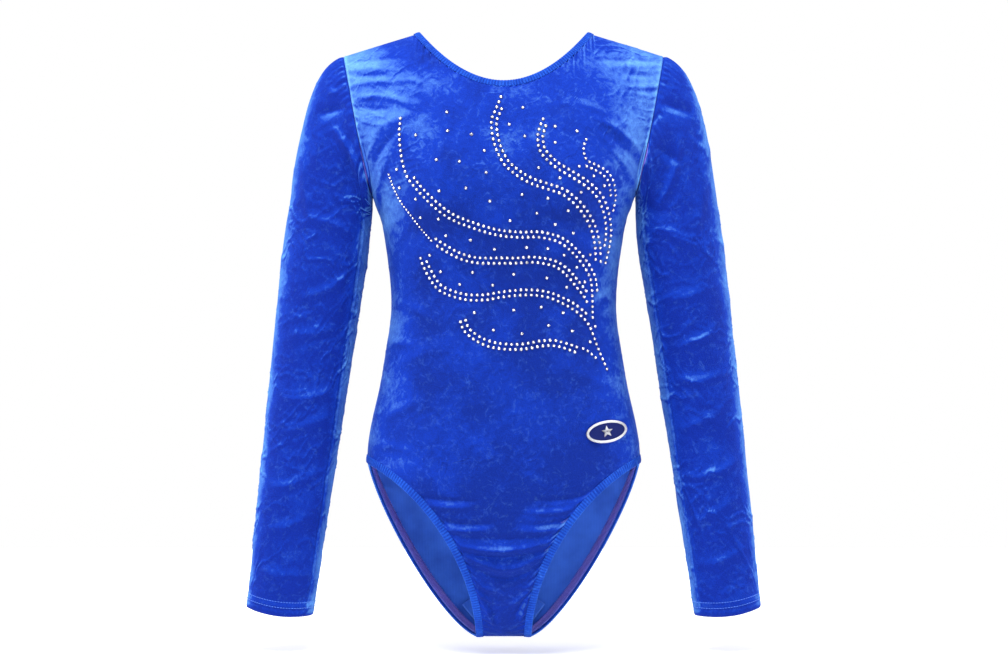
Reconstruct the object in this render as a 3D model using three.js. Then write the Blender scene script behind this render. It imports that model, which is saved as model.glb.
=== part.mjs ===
// A long-sleeved gymnastics leotard in stretch velvet, as it sits on a body: a front and a back panel sewn
// at the sides, shoulders and crotch, two set-in sleeves, elastic edges at the neck and the legs, a lined
// gusset, a crystal motif across the chest and a small embroidered patch at the hip. Millimetres, +Z up,
// the front towards -Y, the wearer's left at +X. The origin is midway between the two points where the
// shoulder seams meet the neckline, so the garment hangs below it.
import * as THREE from "three";

// ---- Overall sizes --------------------------------------------------------------------------------------
const BODY_LENGTH = 680; // neck point to crotch, straight down
const NECK_HALF = 101; // half width between the two neck points, at the cloth's raw edge
const NECK_DROP_FRONT = 66;
const NECK_DROP_BACK = 135;
const SHOULDER_HALF = 181; // half width between the shoulder tips
const SHOULDER_DROP = 25; // shoulder tip below neck point
const CHEST_HALF = 149; // half width at the armpit
const ARMPIT_DROP = 182;
const WAIST_HALF = 127;
const WAIST_DROP = 305;
const HIP_HALF = 154; // half width at the top of the leg opening
const HIP_DROP = 475;
const CROTCH_HALF = 23.5; // half width of the cloth between the legs
const UPPER_ARM_WIDTH = 99;
const CUFF_WIDTH = 75;
const ARM_LENGTH = 456; // armpit to cuff, along the arm
const ARM_ANGLE = 7.3; // degrees that the arm hangs away from straight down

// ---- Cloth, bands and clearances ------------------------------------------------------------------------
const VELVET = 1.2;
const LINING = 0.8;
const GAP = 0.3; // between pieces that are sewn edge to edge
const LAYER_GAP = 0.6; // between layers that lie on each other
const ARMHOLE_GAP = 1.0; // between a panel's armhole edge and its sleeve
const NECK_BAND = 7; // width of the elastic edge at the neck
const LEG_BAND = 8; // and at the legs
const BAND_WALL = 0.8;
const ELASTIC_THICK = 1.1;
const SEAM_WIDTH = 5; // an overlocked seam
const SEAM_THICK = 0.8;
const TAPE_WIDTH = 6;
const TAPE_THICK = 0.3;
const HEM_DEPTH = 12.5; // the cuff's stitching above its edge
const HEM_STITCH_WIDTH = 4;
const HEM_STITCH_THICK = 0.5;
const SLEEVE_TUCK = 3.6; // how far the top of a sleeve sits inside the shoulder, so that it can swing
const SWING = { outside: 9, below: 35 }; // the swing axis from the shoulder tip
const STRAND_WIDTH = 6; // a double row of crystals
const STRAND_THICK = 1.2;
const PATCH_LENGTH = 45;
const PATCH_HEIGHT = 24;
const PATCH_TILT = 8; // degrees, its outer end up
const LABEL_WIDTH = 24;
const LABEL_LENGTH = 38;
const LABEL_THICK = 0.4;

// ---- Grid sizes -----------------------------------------------------------------------------------------
const LEG_ROWS = 14;
const SIDE_ROWS = 8;
const CHEST_ROWS = 9;
const NECK_COLUMNS = 6; // half of the neckline
const SHOULDER_COLUMNS = 4;
const HALF_COLUMNS = NECK_COLUMNS + SHOULDER_COLUMNS;
const LINING_ROWS = 6;
const CAP_ROWS = 7;
const ARM_ROWS = 8;
const STRAND_STEP = 12; // length of a straight piece in a row of crystals

const FRONT = -1;
const BACK = 1;
const LEFT = 1; // the wearer's left
const RIGHT = -1;
const V = (x, y, z) => new THREE.Vector3(x, y, z);
const smooth = (t) => THREE.MathUtils.smoothstep(t, 0, 1);
// 0 to 1, close set at both ends
const crowded = (u, power) => u ** power / (u ** power + (1 - u) ** power);
const lerp = THREE.MathUtils.lerp;

// ---- Body form ------------------------------------------------------------------------------------------
// Levels down the body: [drop, half width, depth in front, depth behind].
const LEVELS = [
  [-40, 199, 60, 50],
  [0, 197, 68, 60],
  [60, 190, 84, 84],
  [120, 180, 102, 98],
  [ARMPIT_DROP - 17, CHEST_HALF + 12, 108, 99],
  [ARMPIT_DROP, CHEST_HALF, 109, 97],
  [ARMPIT_DROP + 45, lerp(CHEST_HALF, WAIST_HALF, 0.64), 103, 88],
  [WAIST_DROP, WAIST_HALF, 90, 70],
  [lerp(WAIST_DROP, HIP_DROP, 0.45), lerp(WAIST_HALF, HIP_HALF, 0.37), 92, 84],
  [HIP_DROP, HIP_HALF, 95, 106],
  [lerp(HIP_DROP, BODY_LENGTH, 0.4), HIP_HALF + 1, 95, 112],
  [BODY_LENGTH, HIP_HALF - 5, 95, 112],
];
const SHOULDER_ROLL = 115; // height over which the chest rolls back to the shoulder seam
const CROTCH_ROLL = Math.min(190, BODY_LENGTH - HIP_DROP - 10);
const ROUNDNESS = 2.4; // exponent of the body's oval section
const BUST = { fullness: 9, x: 72, drop: ARMPIT_DROP - 12, width: 44, height: 46 };
const SEAT = { fullness: 10, x: 68, drop: HIP_DROP + 44, width: 46, height: 56 };

// Smooth curve through the levels, without overshoot (Fritsch-Carlson).
function through(column) {
  const x = LEVELS.map((level) => level[0]);
  const y = LEVELS.map((level) => level[column]);
  const step = x.slice(1).map((b, i) => b - x[i]);
  const slope = step.map((h, i) => (y[i + 1] - y[i]) / h);
  const tangent = x.map((_, i) => {
    if (i === 0) return slope[0];
    if (i === x.length - 1) return slope[i - 1];
    if (slope[i - 1] * slope[i] <= 0) return 0;
    const a = 2 * step[i] + step[i - 1];
    const b = step[i] + 2 * step[i - 1];
    return (a + b) / (a / slope[i - 1] + b / slope[i]);
  });
  return (drop) => {
    const d = THREE.MathUtils.clamp(drop, x[0], x.at(-1));
    const i = Math.max(0, x.findIndex((b, k) => k && d <= b) - 1);
    const t = (d - x[i]) / step[i];
    const rise = y[i] * (1 + 2 * t) * (1 - t) ** 2 + y[i + 1] * t * t * (3 - 2 * t);
    return rise + step[i] * (tangent[i] * t * (1 - t) ** 2 - tangent[i + 1] * t * t * (1 - t));
  };
}
const halfWidth = through(1);
const frontDepth = through(2);
const backDepth = through(3);

const SHOULDER_SLOPE = SHOULDER_DROP / (SHOULDER_HALF - NECK_HALF);
const ridge = (x) =>
  SHOULDER_SLOPE * (NECK_HALF - Math.hypot(x, 30) + Math.hypot(NECK_HALF, 30) - NECK_HALF);
const oval = (t, power) => (1 - Math.min(1, Math.max(0, t)) ** power) ** (1 / power);
const bulge = (b, x, drop) =>
  b.fullness * Math.exp(-(((Math.abs(x) - b.x) / b.width) ** 2) - ((drop - b.drop) / b.height) ** 2);

// How far the cloth lies in front of or behind the side seams, at a place in the front view.
function depthAt(side, x, z) {
  const drop = -z;
  const depth =
    side === FRONT ? frontDepth(drop) + bulge(BUST, x, drop) : backDepth(drop) + bulge(SEAT, x, drop);
  const across = oval(Math.abs(x) / halfWidth(drop), ROUNDNESS);
  const top = oval((z - ridge(x) + SHOULDER_ROLL) / SHOULDER_ROLL, 2.2);
  const bottom = oval((drop - BODY_LENGTH + CROTCH_ROLL) / CROTCH_ROLL, 1.9);
  return depth * across * top * bottom;
}
const onForm = (side, x, z) => V(x, side * (GAP / 2 + depthAt(side, x, z)), z);

// The cloth's outward normal there, from the slope of the form just inside its outline.
function formNormal(side, x, z) {
  const step = 0.05;
  const levelZ = THREE.MathUtils.clamp(z, 2 * step - BODY_LENGTH, ridge(x) - 2 * step);
  const reach = halfWidth(-levelZ) - 2 * step;
  const inside = THREE.MathUtils.clamp(x, -reach, reach);
  const acrossRise = depthAt(side, inside + step, levelZ) - depthAt(side, inside - step, levelZ);
  const upRise = depthAt(side, inside, levelZ + step) - depthAt(side, inside, levelZ - step);
  return V(-acrossRise, side * 2 * step, -upRise).normalize();
}
const placeOn = (side, x, z) => ({ point: onForm(side, x, z), normal: formNormal(side, x, z) });

// ---- Outlines in the front view -------------------------------------------------------------------------
const crotchEdge = new THREE.Vector2(CROTCH_HALF, -BODY_LENGTH);
const hipPoint = new THREE.Vector2(HIP_HALF, -HIP_DROP);
const legHeight = BODY_LENGTH - HIP_DROP;
const legWidth = HIP_HALF - CROTCH_HALF;
const LEG_LINE = {
  [FRONT]: new THREE.CubicBezierCurve(
    crotchEdge,
    new THREE.Vector2(CROTCH_HALF, -BODY_LENGTH + 0.475 * legHeight),
    new THREE.Vector2(HIP_HALF - 0.467 * legWidth, -HIP_DROP - 0.1 * legHeight),
    hipPoint,
  ),
  [BACK]: new THREE.CubicBezierCurve(
    crotchEdge,
    new THREE.Vector2(CROTCH_HALF + 0.323 * legWidth, -BODY_LENGTH + 0.049 * legHeight),
    new THREE.Vector2(HIP_HALF - 0.091 * legWidth, -HIP_DROP - 0.341 * legHeight),
    hipPoint,
  ),
};
const NECK_LINE = {
  [FRONT]: (t) => [NECK_HALF * t, -NECK_DROP_FRONT * (1 - t * t) ** 0.95],
  [BACK]: (t) => [NECK_HALF * t, -NECK_DROP_BACK * (1 - t ** 2.2) ** 0.9],
};
const shoulderLine = (t) => [lerp(NECK_HALF, SHOULDER_HALF, t), lerp(0, -SHOULDER_DROP, t)];

// Where a panel's cloth is in the front view. across runs from 0 at the centre to 1 at the leg, side or
// armhole edge; up runs 0 to 1 past the leg, 1 to 2 up the side seam and 2 to 3 up the armhole.
function panelPlace(side, across, up) {
  const sine = Math.sin((across * Math.PI) / 2);
  if (up <= 1) {
    const t = crowded(up, 2.4);
    const edge = LEG_LINE[side].getPoint(t);
    const angle = Math.asin(Math.min(1, edge.x / halfWidth(-edge.y)));
    const share = Math.sin(across * angle) / Math.sin(angle);
    return [edge.x * share, lerp(t * legHeight - BODY_LENGTH, edge.y, share * share)];
  }
  if (up <= 2) {
    const z = lerp(-HIP_DROP, -ARMPIT_DROP, up - 1);
    return [halfWidth(-z) * sine, z];
  }
  const neckShare = NECK_COLUMNS / HALF_COLUMNS;
  const [topX, topZ] =
    across <= neckShare
      ? NECK_LINE[side](Math.sin(((across / neckShare) * Math.PI) / 2))
      : shoulderLine((across - neckShare) / (1 - neckShare));
  const t = crowded(up - 2, 2);
  return [lerp(CHEST_HALF * sine, topX, t), lerp(-ARMPIT_DROP, topZ, t)];
}

// ---- Cloth shells ---------------------------------------------------------------------------------------
const HIP_ROW = LEG_ROWS;
const ARMPIT_ROW = LEG_ROWS + SIDE_ROWS;
const TOP_ROW = ARMPIT_ROW + CHEST_ROWS;
function upAt(row) {
  if (row <= HIP_ROW) return row / LEG_ROWS;
  return row <= ARMPIT_ROW ? 1 + (row - HIP_ROW) / SIDE_ROWS : 2 + (row - ARMPIT_ROW) / CHEST_ROWS;
}

// A panel's middle surface as rows of { point, normal } from the crotch up, each from the wearer's right
// to left.
function panelRows(side) {
  const rows = [];
  for (let row = 0; row <= TOP_ROW; row++) {
    const line = [];
    for (let k = -HALF_COLUMNS; k <= HALF_COLUMNS; k++) {
      const aside = Math.abs(k);
      const [x, z] = panelPlace(side, aside / HALF_COLUMNS, upAt(row));
      const place = placeOn(side, Math.sign(k) * x, z);
      const atSide = aside === HALF_COLUMNS && row >= HIP_ROW && row <= ARMPIT_ROW;
      const atShoulder = aside >= NECK_COLUMNS && row === TOP_ROW;
      if (row === 0 || atSide || atShoulder) place.normal.setY(0).normalize();
      if (row > ARMPIT_ROW) place.point.x -= Math.sign(k) * (ARMHOLE_GAP / 2) * (aside / HALF_COLUMNS) ** 4;
      line.push(place);
    }
    rows.push(line);
  }
  return rows;
}

// Gives a sleeve's rings of points their outward normals, from each point's neighbours.
function withNormals(rings) {
  const last = rings.length - 1;
  const n = rings[0].length;
  return rings.map((ring, i) =>
    ring.map((point, j) => {
      const round = ring[(j + 1) % n].clone().sub(ring[(j + n - 1) % n]);
      const along = rings[Math.min(i + 1, last)][j].clone().sub(rings[Math.max(i - 1, 0)][j]);
      return { point, normal: along.cross(round).normalize() };
    }),
  );
}
const moved = (place, distance) => place.point.clone().addScaledVector(place.normal, distance);

// A closed solid from points and its quads, each turning left seen from outside.
function solid(points, quads, triangles = []) {
  const geometry = new THREE.BufferGeometry();
  const numbers = points.flatMap((p) => p.toArray());
  geometry.setAttribute("position", new THREE.Float32BufferAttribute(numbers, 3));
  geometry.setIndex([...quads.flatMap(([a, b, c, d]) => [a, b, c, a, c, d]), ...triangles.flat()]);
  geometry.computeVertexNormals();
  return geometry;
}

// Cloth between two distances from a grid's surface. A grid that goes right round is joined to itself.
function shell(rows, from, to, round = false) {
  const wide = rows[0].length;
  const high = rows.length;
  const points = [to, from].flatMap((d) => rows.flatMap((line) => line.map((place) => moved(place, d))));
  const at = (layer, i, j) => layer * wide * high + i * wide + (j % wide);
  const quads = [];
  const columns = round ? wide : wide - 1;
  for (let i = 0; i < high - 1; i++)
    for (let j = 0; j < columns; j++) {
      quads.push([at(0, i, j), at(0, i, j + 1), at(0, i + 1, j + 1), at(0, i + 1, j)]);
      quads.push([at(1, i, j), at(1, i + 1, j), at(1, i + 1, j + 1), at(1, i, j + 1)]);
    }
  for (let j = 0; j < columns; j++) {
    quads.push([at(1, 0, j), at(1, 0, j + 1), at(0, 0, j + 1), at(0, 0, j)]);
    quads.push([at(0, high - 1, j), at(0, high - 1, j + 1), at(1, high - 1, j + 1), at(1, high - 1, j)]);
  }
  for (let i = 0; i < high - 1 && !round; i++) {
    quads.push([at(0, i, 0), at(0, i + 1, 0), at(1, i + 1, 0), at(1, i, 0)]);
    quads.push([at(1, i, wide - 1), at(1, i + 1, wide - 1), at(0, i + 1, wide - 1), at(0, i, wide - 1)]);
  }
  return solid(points, quads);
}

// ---- Strips along a line: bands, elastics, seams and rows of crystals -----------------------------------
// Carries a section along places. The section is [aside, out] points turning left: out is along the cloth's
// normal, and aside is the line's direction crossed with that normal.
function strip(places, section, closed = false) {
  const n = places.length;
  const size = section.length;
  const points = places.flatMap((place, i) => {
    const before = places[closed ? (i + n - 1) % n : Math.max(i - 1, 0)].point;
    const after = places[closed ? (i + 1) % n : Math.min(i + 1, n - 1)].point;
    const tangent = after.clone().sub(before).normalize();
    const aside = tangent.clone().cross(place.normal).normalize();
    const out = aside.clone().cross(tangent);
    return section.map(([a, b]) => place.point.clone().addScaledVector(aside, a).addScaledVector(out, b));
  });
  const quads = [];
  for (let i = 0; i < (closed ? n : n - 1); i++)
    for (let k = 0; k < size; k++) {
      const [a, b] = [i * size, ((i + 1) % n) * size];
      const next = (k + 1) % size;
      quads.push([a + k, b + k, b + next, a + next]);
    }
  if (closed) return solid(points, quads);
  const outline = section.map(([a, b]) => new THREE.Vector2(a, b));
  const caps = THREE.ShapeUtils.triangulateShape(outline, []);
  const end = (n - 1) * size;
  return solid(points, quads, [...caps, ...caps.map(([a, b, c]) => [end + c, end + b, end + a])]);
}
const bar = (low, high, from, to) => [
  [low, from],
  [high, from],
  [high, to],
  [low, to],
];
const under = (start, thick, width) => bar(-width / 2, width / 2, -start - thick, -start);
const over = (start, thick, width) => bar(-width / 2, width / 2, start, start + thick);

// ---- Scene graph ----------------------------------------------------------------------------------------
const leotard = new THREE.Group();
const arms = { [LEFT]: new THREE.Group(), [RIGHT]: new THREE.Group() };
leotard.add(arms[LEFT], arms[RIGHT]);
const SIDE_NAME = { [LEFT]: "left", [RIGHT]: "right" };

const cloth = (color, roughness = 0.9) =>
  new THREE.MeshStandardMaterial({ color, roughness, metalness: 0 });
const MATERIAL = {
  velvet: () => cloth("#1440c8"),
  band: () => cloth("#2a63dc", 0.8),
  elastic: () => cloth("#dfe3ea", 0.7),
  thread: () => cloth("#4a44b4", 0.7),
  stitch: () => cloth("#3f7be6", 0.7),
  lining: () => cloth("#2f62d4", 0.8),
  tape: () => cloth("#e8eef2", 0.3),
  crystal: () => cloth("#e9e6e0", 0.08),
  silver: () => cloth("#d6d3cf", 0.5),
  navy: () => cloth("#1b2a8c", 0.8),
  label: () => cloth("#f2f2ee", 0.6),
};
function add(name, geometry, material, parent = leotard) {
  const mesh = new THREE.Mesh(geometry, material());
  mesh.name = name;
  parent.add(mesh);
}

// ---- Panels ---------------------------------------------------------------------------------------------
const mirrored = (rows) => rows.map((line) => [...line].reverse());
const panels = { [FRONT]: panelRows(FRONT), [BACK]: panelRows(BACK) };
add("front_panel", shell(panels[FRONT], -VELVET / 2, VELVET / 2), MATERIAL.velvet);
add("back_panel", shell(mirrored(panels[BACK]), -VELVET / 2, VELVET / 2), MATERIAL.velvet);

const columnAt = (lateral, aside = HALF_COLUMNS) => HALF_COLUMNS + lateral * aside;
const edge = (side, lateral, from, to) =>
  panels[side].slice(from, to + 1).map((line) => line[columnAt(lateral)]);
function middle(a, b) {
  return {
    point: a.point.clone().add(b.point).multiplyScalar(0.5),
    normal: a.normal.clone().add(b.normal).normalize(),
  };
}

// ---- Elastic edges --------------------------------------------------------------------------------------
// The neck ring runs round the front from the wearer's right to left, then back behind.
function neckRing() {
  const low = columnAt(RIGHT, NECK_COLUMNS);
  const high = columnAt(LEFT, NECK_COLUMNS);
  const [front, back] = [panels[FRONT][TOP_ROW], panels[BACK][TOP_ROW]];
  const behind = back.slice(low + 1, high).reverse();
  const [first, last] = [middle(front[low], back[low]), middle(front[high], back[high])];
  return [first, ...front.slice(low + 1, high), last, ...behind];
}

// A leg ring runs up the front edge and down the back one.
function legRing(lateral) {
  const front = edge(FRONT, lateral, 0, HIP_ROW);
  const back = edge(BACK, lateral, 0, HIP_ROW);
  const [crotch, hip] = [middle(front[0], back[0]), middle(front[HIP_ROW], back[HIP_ROW])];
  const ring = [crotch, ...front.slice(1, HIP_ROW), hip];
  return [...ring, ...back.slice(1, HIP_ROW).reverse()];
}

// The band is a fold of cloth with its open side on the raw edge and a flat elastic in it. outward is 1
// where aside points off the cloth and -1 where it points back over it.
const FOLD_GAP = 0.6; // round the elastic
const bandSlot = ELASTIC_THICK / 2 + FOLD_GAP;
const bandWall = bandSlot + BAND_WALL;
function edgeBand(prefix, ring, outward, width) {
  const turned = (section) => (outward > 0 ? section : section.map(([a, b]) => [-a, b]).reverse());
  const inner = width - BAND_WALL;
  const fold = [
    [GAP, bandWall],
    [GAP, bandSlot],
    [inner, bandSlot],
    [inner, -bandSlot],
    [GAP, -bandSlot],
    [GAP, -bandWall],
    [inner, -bandWall],
    [width, -bandSlot],
    [width, bandSlot],
    [inner, bandWall],
  ];
  const elastic = bar(GAP + FOLD_GAP, inner - FOLD_GAP, -ELASTIC_THICK / 2, ELASTIC_THICK / 2);
  const start = bandWall + 2 * GAP;
  const overlock = bar(GAP, GAP + SEAM_WIDTH, -start - SEAM_THICK, -start);
  add(`${prefix}_band`, strip(ring, turned(fold), true), MATERIAL.band);
  add(`${prefix}_elastic`, strip(ring, turned(elastic), true), MATERIAL.elastic);
  add(`${prefix}_overlock`, strip(ring, turned(overlock), true), MATERIAL.thread);
}
edgeBand("neck", neckRing(), -1, NECK_BAND);
// Halves each step of a ring, so that a band and its elastic turn over together where the ring twists.
const halved = (ring) => ring.flatMap((place, i) => [place, middle(place, ring[(i + 1) % ring.length])]);
for (const lateral of [LEFT, RIGHT])
  edgeBand(`${SIDE_NAME[lateral]}_leg`, halved(legRing(lateral)), lateral, LEG_BAND);

// ---- Body seams, gusset lining and label ----------------------------------------------------------------
const seamSection = under(VELVET / 2 + LAYER_GAP, SEAM_THICK, SEAM_WIDTH);
function sideSeam(lateral) {
  const front = edge(FRONT, lateral, HIP_ROW + 1, ARMPIT_ROW - 1);
  const back = edge(BACK, lateral, HIP_ROW + 1, ARMPIT_ROW - 1);
  return front.map((place, i) => middle(place, back[i]));
}
function shoulderSeam(lateral) {
  const places = [];
  for (let k = NECK_COLUMNS + 1; k < HALF_COLUMNS; k++) {
    const column = columnAt(lateral, k);
    places.push(middle(panels[FRONT][TOP_ROW][column], panels[BACK][TOP_ROW][column]));
  }
  return places;
}
for (const lateral of [LEFT, RIGHT]) {
  const name = SIDE_NAME[lateral];
  const tape = under(VELVET / 2 + LAYER_GAP + SEAM_THICK + LAYER_GAP, TAPE_THICK, TAPE_WIDTH);
  add(`${name}_side_seam`, strip(sideSeam(lateral), seamSection), MATERIAL.thread);
  add(`${name}_shoulder_seam`, strip(shoulderSeam(lateral), seamSection), MATERIAL.thread);
  add(`${name}_shoulder_tape`, strip(shoulderSeam(lateral), tape), MATERIAL.tape);
}

const liningReach = HALF_COLUMNS - 2; // columns either side of the centre
const liningLine = (line) => line.slice(columnAt(RIGHT, liningReach), columnAt(LEFT, liningReach) + 1);
const crotchLine = liningLine(panels[FRONT][0].map((place, j) => middle(place, panels[BACK][0][j])));
function liningRows() {
  const front = panels[FRONT].slice(1, LINING_ROWS + 1).map(liningLine);
  const back = panels[BACK].slice(1, LINING_ROWS + 1).map(liningLine).reverse();
  return [...back, crotchLine, ...front];
}
const liningDepth = VELVET / 2 + SEAM_THICK + 2 * LAYER_GAP;
add("crotch_seam", strip(crotchLine, seamSection), MATERIAL.thread);
add("gusset_lining", shell(liningRows(), -liningDepth - LINING, -liningDepth), MATERIAL.lining);

function labelRows() {
  const top = -NECK_DROP_BACK - 2 * LAYER_GAP - SEAM_WIDTH;
  return [-LABEL_LENGTH, -LABEL_LENGTH / 2, 0].map((down) =>
    [LABEL_WIDTH / 2, 0, -LABEL_WIDTH / 2].map((x) => placeOn(BACK, x, top + down)),
  );
}
const labelDepth = VELVET / 2 + 2 * LAYER_GAP;
add("care_label", shell(labelRows(), -labelDepth - LABEL_THICK, -labelDepth), MATERIAL.label);

// ---- Sleeves --------------------------------------------------------------------------------------------
const armTurn = THREE.MathUtils.degToRad(ARM_ANGLE);
const armDown = V(Math.sin(armTurn), 0, -Math.cos(armTurn));
const armOut = V(-armDown.z, 0, armDown.x);
const ARM_TOP_WIDTH = 0.94 * UPPER_ARM_WIDTH;
const armTop = V(CHEST_HALF, 0, -ARMPIT_DROP).add(V(ARM_TOP_WIDTH / 2, 0, -0.36 * (ARM_TOP_WIDTH / 2)));
const swingAxis = V(SHOULDER_HALF + SWING.outside, 0, -SHOULDER_DROP - SWING.below);

// The arm's width in the front view at a share of its length, and its depth as a share of that width.
function armWidth(share) {
  const swell = Math.max(0, 1 - share / 0.12);
  return lerp(UPPER_ARM_WIDTH, CUFF_WIDTH, share) - (UPPER_ARM_WIDTH - ARM_TOP_WIDTH) * swell * swell;
}
const armDepthShare = (share) => lerp(0.93, 0.74, smooth(share));
const armCentre = (share) => armTop.clone().addScaledVector(armDown, share * ARM_LENGTH);
function armSide(share, direction) {
  return armCentre(share).addScaledVector(armOut, (direction * armWidth(share)) / 2);
}

// The outline of the shoulder, from its tip to the outside of the arm.
const shoulderAngle = Math.atan(SHOULDER_SLOPE);
const shoulderTip = V(SHOULDER_HALF, 0, -SHOULDER_DROP);
const capLine = new THREE.CubicBezierCurve3(
  shoulderTip,
  shoulderTip.clone().add(V(Math.cos(shoulderAngle), 0, -Math.sin(shoulderAngle)).multiplyScalar(38)),
  armSide(0, 1).addScaledVector(armDown, -95),
  armSide(0, 1),
);

// Half of the armhole as { share, depth } from armpit to shoulder tip: share along the straight line
// between them.
function armholeHalf(side) {
  return edge(side, LEFT, ARMPIT_ROW, TOP_ROW).map(({ point }) => ({
    share: (point.z + ARMPIT_DROP) / (ARMPIT_DROP - SHOULDER_DROP),
    depth: Math.abs(point.y),
  }));
}

// One ring of the left sleeve round a line from its inner to its outer side, starting at the armpit's
// column and going over the front. form blends it from the armhole's shape (0) to an ellipse (1).
function sleeveRing(inner, outer, depth, form) {
  const ring = [];
  for (let j = 0; j < 2 * CHEST_ROWS; j++) {
    const side = j <= CHEST_ROWS ? FRONT : BACK;
    const step = j <= CHEST_ROWS ? j : 2 * CHEST_ROWS - j;
    const hole = armholeHalf(side)[step];
    const angle = (Math.PI * step) / CHEST_ROWS;
    const share = lerp(hole.share, (1 - Math.cos(angle)) / 2, form);
    const out = lerp(step % CHEST_ROWS ? hole.depth : 0, depth * Math.sin(angle), form);
    const point = inner.clone().lerp(outer, share);
    point.y = side * out;
    ring.push(point);
  }
  return ring;
}
const hemShare = 1 - HEM_DEPTH / ARM_LENGTH;
function sleevePoints() {
  const rings = [];
  const armpitPoint = V(CHEST_HALF, 0, -ARMPIT_DROP);
  for (let i = 0; i < CAP_ROWS; i++) {
    const v = i / CAP_ROWS;
    const clear = V((ARMHOLE_GAP + VELVET) * (1 - v), 0, 0);
    const inner = armpitPoint.clone().lerp(armSide(0, -1), v).add(clear);
    const outer = capLine.getPoint(v).add(V((ARMHOLE_GAP / 2) * (1 - v), 0, 0));
    rings.push(sleeveRing(inner, outer, (armDepthShare(0) * armWidth(0)) / 2, smooth(v)));
  }
  for (let i = 0; i <= ARM_ROWS + 1; i++) {
    const share = i < ARM_ROWS ? i / ARM_ROWS : [hemShare, 1][i - ARM_ROWS];
    const depth = (armDepthShare(share) * armWidth(share)) / 2;
    rings.push(sleeveRing(armSide(share, -1), armSide(share, 1), depth, 1));
  }
  return rings;
}

// The sleeve's middle surface, its top tucked in towards the swing axis so that it passes inside the
// shoulder.
function sleeveRows() {
  const tucked = withNormals(sleevePoints()).map((ring, i) =>
    ring.map((place) => {
      const above = smooth((place.point.z - swingAxis.z + 12) / SWING.below);
      const near = 1 - smooth(i / CAP_ROWS);
      return moved(place, -SLEEVE_TUCK * above * near);
    }),
  );
  return withNormals(tucked);
}
const HEM_RING = CAP_ROWS + ARM_ROWS;
const armholeSection = under(VELVET / 2 + 3 * LAYER_GAP, SEAM_THICK, 0.5 * SEAM_WIDTH);

function flipX({ point, normal }) {
  return { point: V(-point.x, point.y, point.z), normal: V(-normal.x, normal.y, normal.z) };
}
const leftSleeve = sleeveRows();
for (const lateral of [LEFT, RIGHT]) {
  const name = SIDE_NAME[lateral];
  const rows = lateral === LEFT ? leftSleeve : leftSleeve.map((ring) => ring.map(flipX));
  const facing = lateral === LEFT ? mirrored(rows) : rows;
  const column = (j, from, to) => rows.slice(from, to).map((ring) => ring[j]);
  add(`${name}_sleeve`, shell(facing, -VELVET / 2, VELVET / 2, true), MATERIAL.velvet, arms[lateral]);
  // it rounds the armpit and the shoulder's tip
  const armholeRing = rows[1].filter((_, j) => j % CHEST_ROWS !== 0);
  add(`${name}_armhole_seam`, strip(armholeRing, armholeSection, true), MATERIAL.thread, arms[lateral]);
  add(`${name}_underarm_seam`, strip(column(1, 3, HEM_RING), seamSection), MATERIAL.thread, arms[lateral]);
  const stitch = over(VELVET / 2 + GAP, HEM_STITCH_THICK, HEM_STITCH_WIDTH);
  add(`${name}_cuff_stitch`, strip(rows[HEM_RING], stitch, true), MATERIAL.stitch, arms[lateral]);
}

// ---- Crystal motif --------------------------------------------------------------------------------------
// Each row's line as [aside, down] points in hundredths of the waist's half width, from the neck points'
// level.
const MOTIF = {
  outer_loop: [
    [-88, 80], [-88, 105], [-80, 131], [-65, 148], [-30, 169],
    [12, 179], [48, 184], [70, 209], [75, 226],
  ],
  neck_loop: [[0, 63], [-8, 81], [-6, 99], [3, 118], [18, 130], [39, 139], [59, 148], [73, 166], [79, 181]],
  bust_loop: [[34, 81], [31, 94], [33, 106], [40, 116], [59, 128], [81, 145], [89, 166], [87, 186]],
  side_loop: [[70, 98], [68, 106], [72, 116], [87, 124], [94, 133], [95, 147]],
  lower_loop: [
    [-97, 128], [-88, 150], [-72, 171], [-55, 187], [-33, 198],
    [-4, 202], [37, 202], [55, 212], [66, 229],
  ],
  waist_loop: [[-71, 199], [-62, 218], [-44, 232], [-16, 235], [27, 231], [52, 239], [71, 255], [80, 274]],
  base_loop: [[-36, 254], [-24, 267], [1, 274], [30, 271], [52, 273], [72, 279]],
};
const FARTHEST = 0.88; // of the half width, so that every crystal lies on the front
function onFront(x, z) {
  const reach = FARTHEST * halfWidth(-z);
  return placeOn(FRONT, THREE.MathUtils.clamp(x, -reach, reach), z);
}
function strandPlaces(line) {
  const unit = WAIST_HALF / 100;
  const through = line.map(([x, down]) => V(x * unit, 0, -down * unit));
  const curve = new THREE.CatmullRomCurve3(through, false, "centripetal");
  const steps = Math.ceil(curve.getLength() / STRAND_STEP);
  return curve.getSpacedPoints(steps).map(({ x, z }) => onFront(x, z));
}
for (const [name, line] of Object.entries(MOTIF)) {
  const section = over(VELVET / 2 + 2 * LAYER_GAP, STRAND_THICK, STRAND_WIDTH);
  add(`crystals_${name}`, strip(strandPlaces(line), section), MATERIAL.crystal);
}

// ---- Hip patch ------------------------------------------------------------------------------------------
const PATCH = { x: 0.755 * halfWidth(HIP_DROP - 29), z: 29 - HIP_DROP };
const PATCH_SIDES = 24;
const PATCH_BASE = { from: VELVET / 2 + LAYER_GAP, to: VELVET / 2 + LAYER_GAP + 0.9 };
const PATCH_TOP = { from: PATCH_BASE.to + GAP, to: PATCH_BASE.to + GAP + 0.6 };
const BORDER_WIDTH = 2.4;

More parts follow.
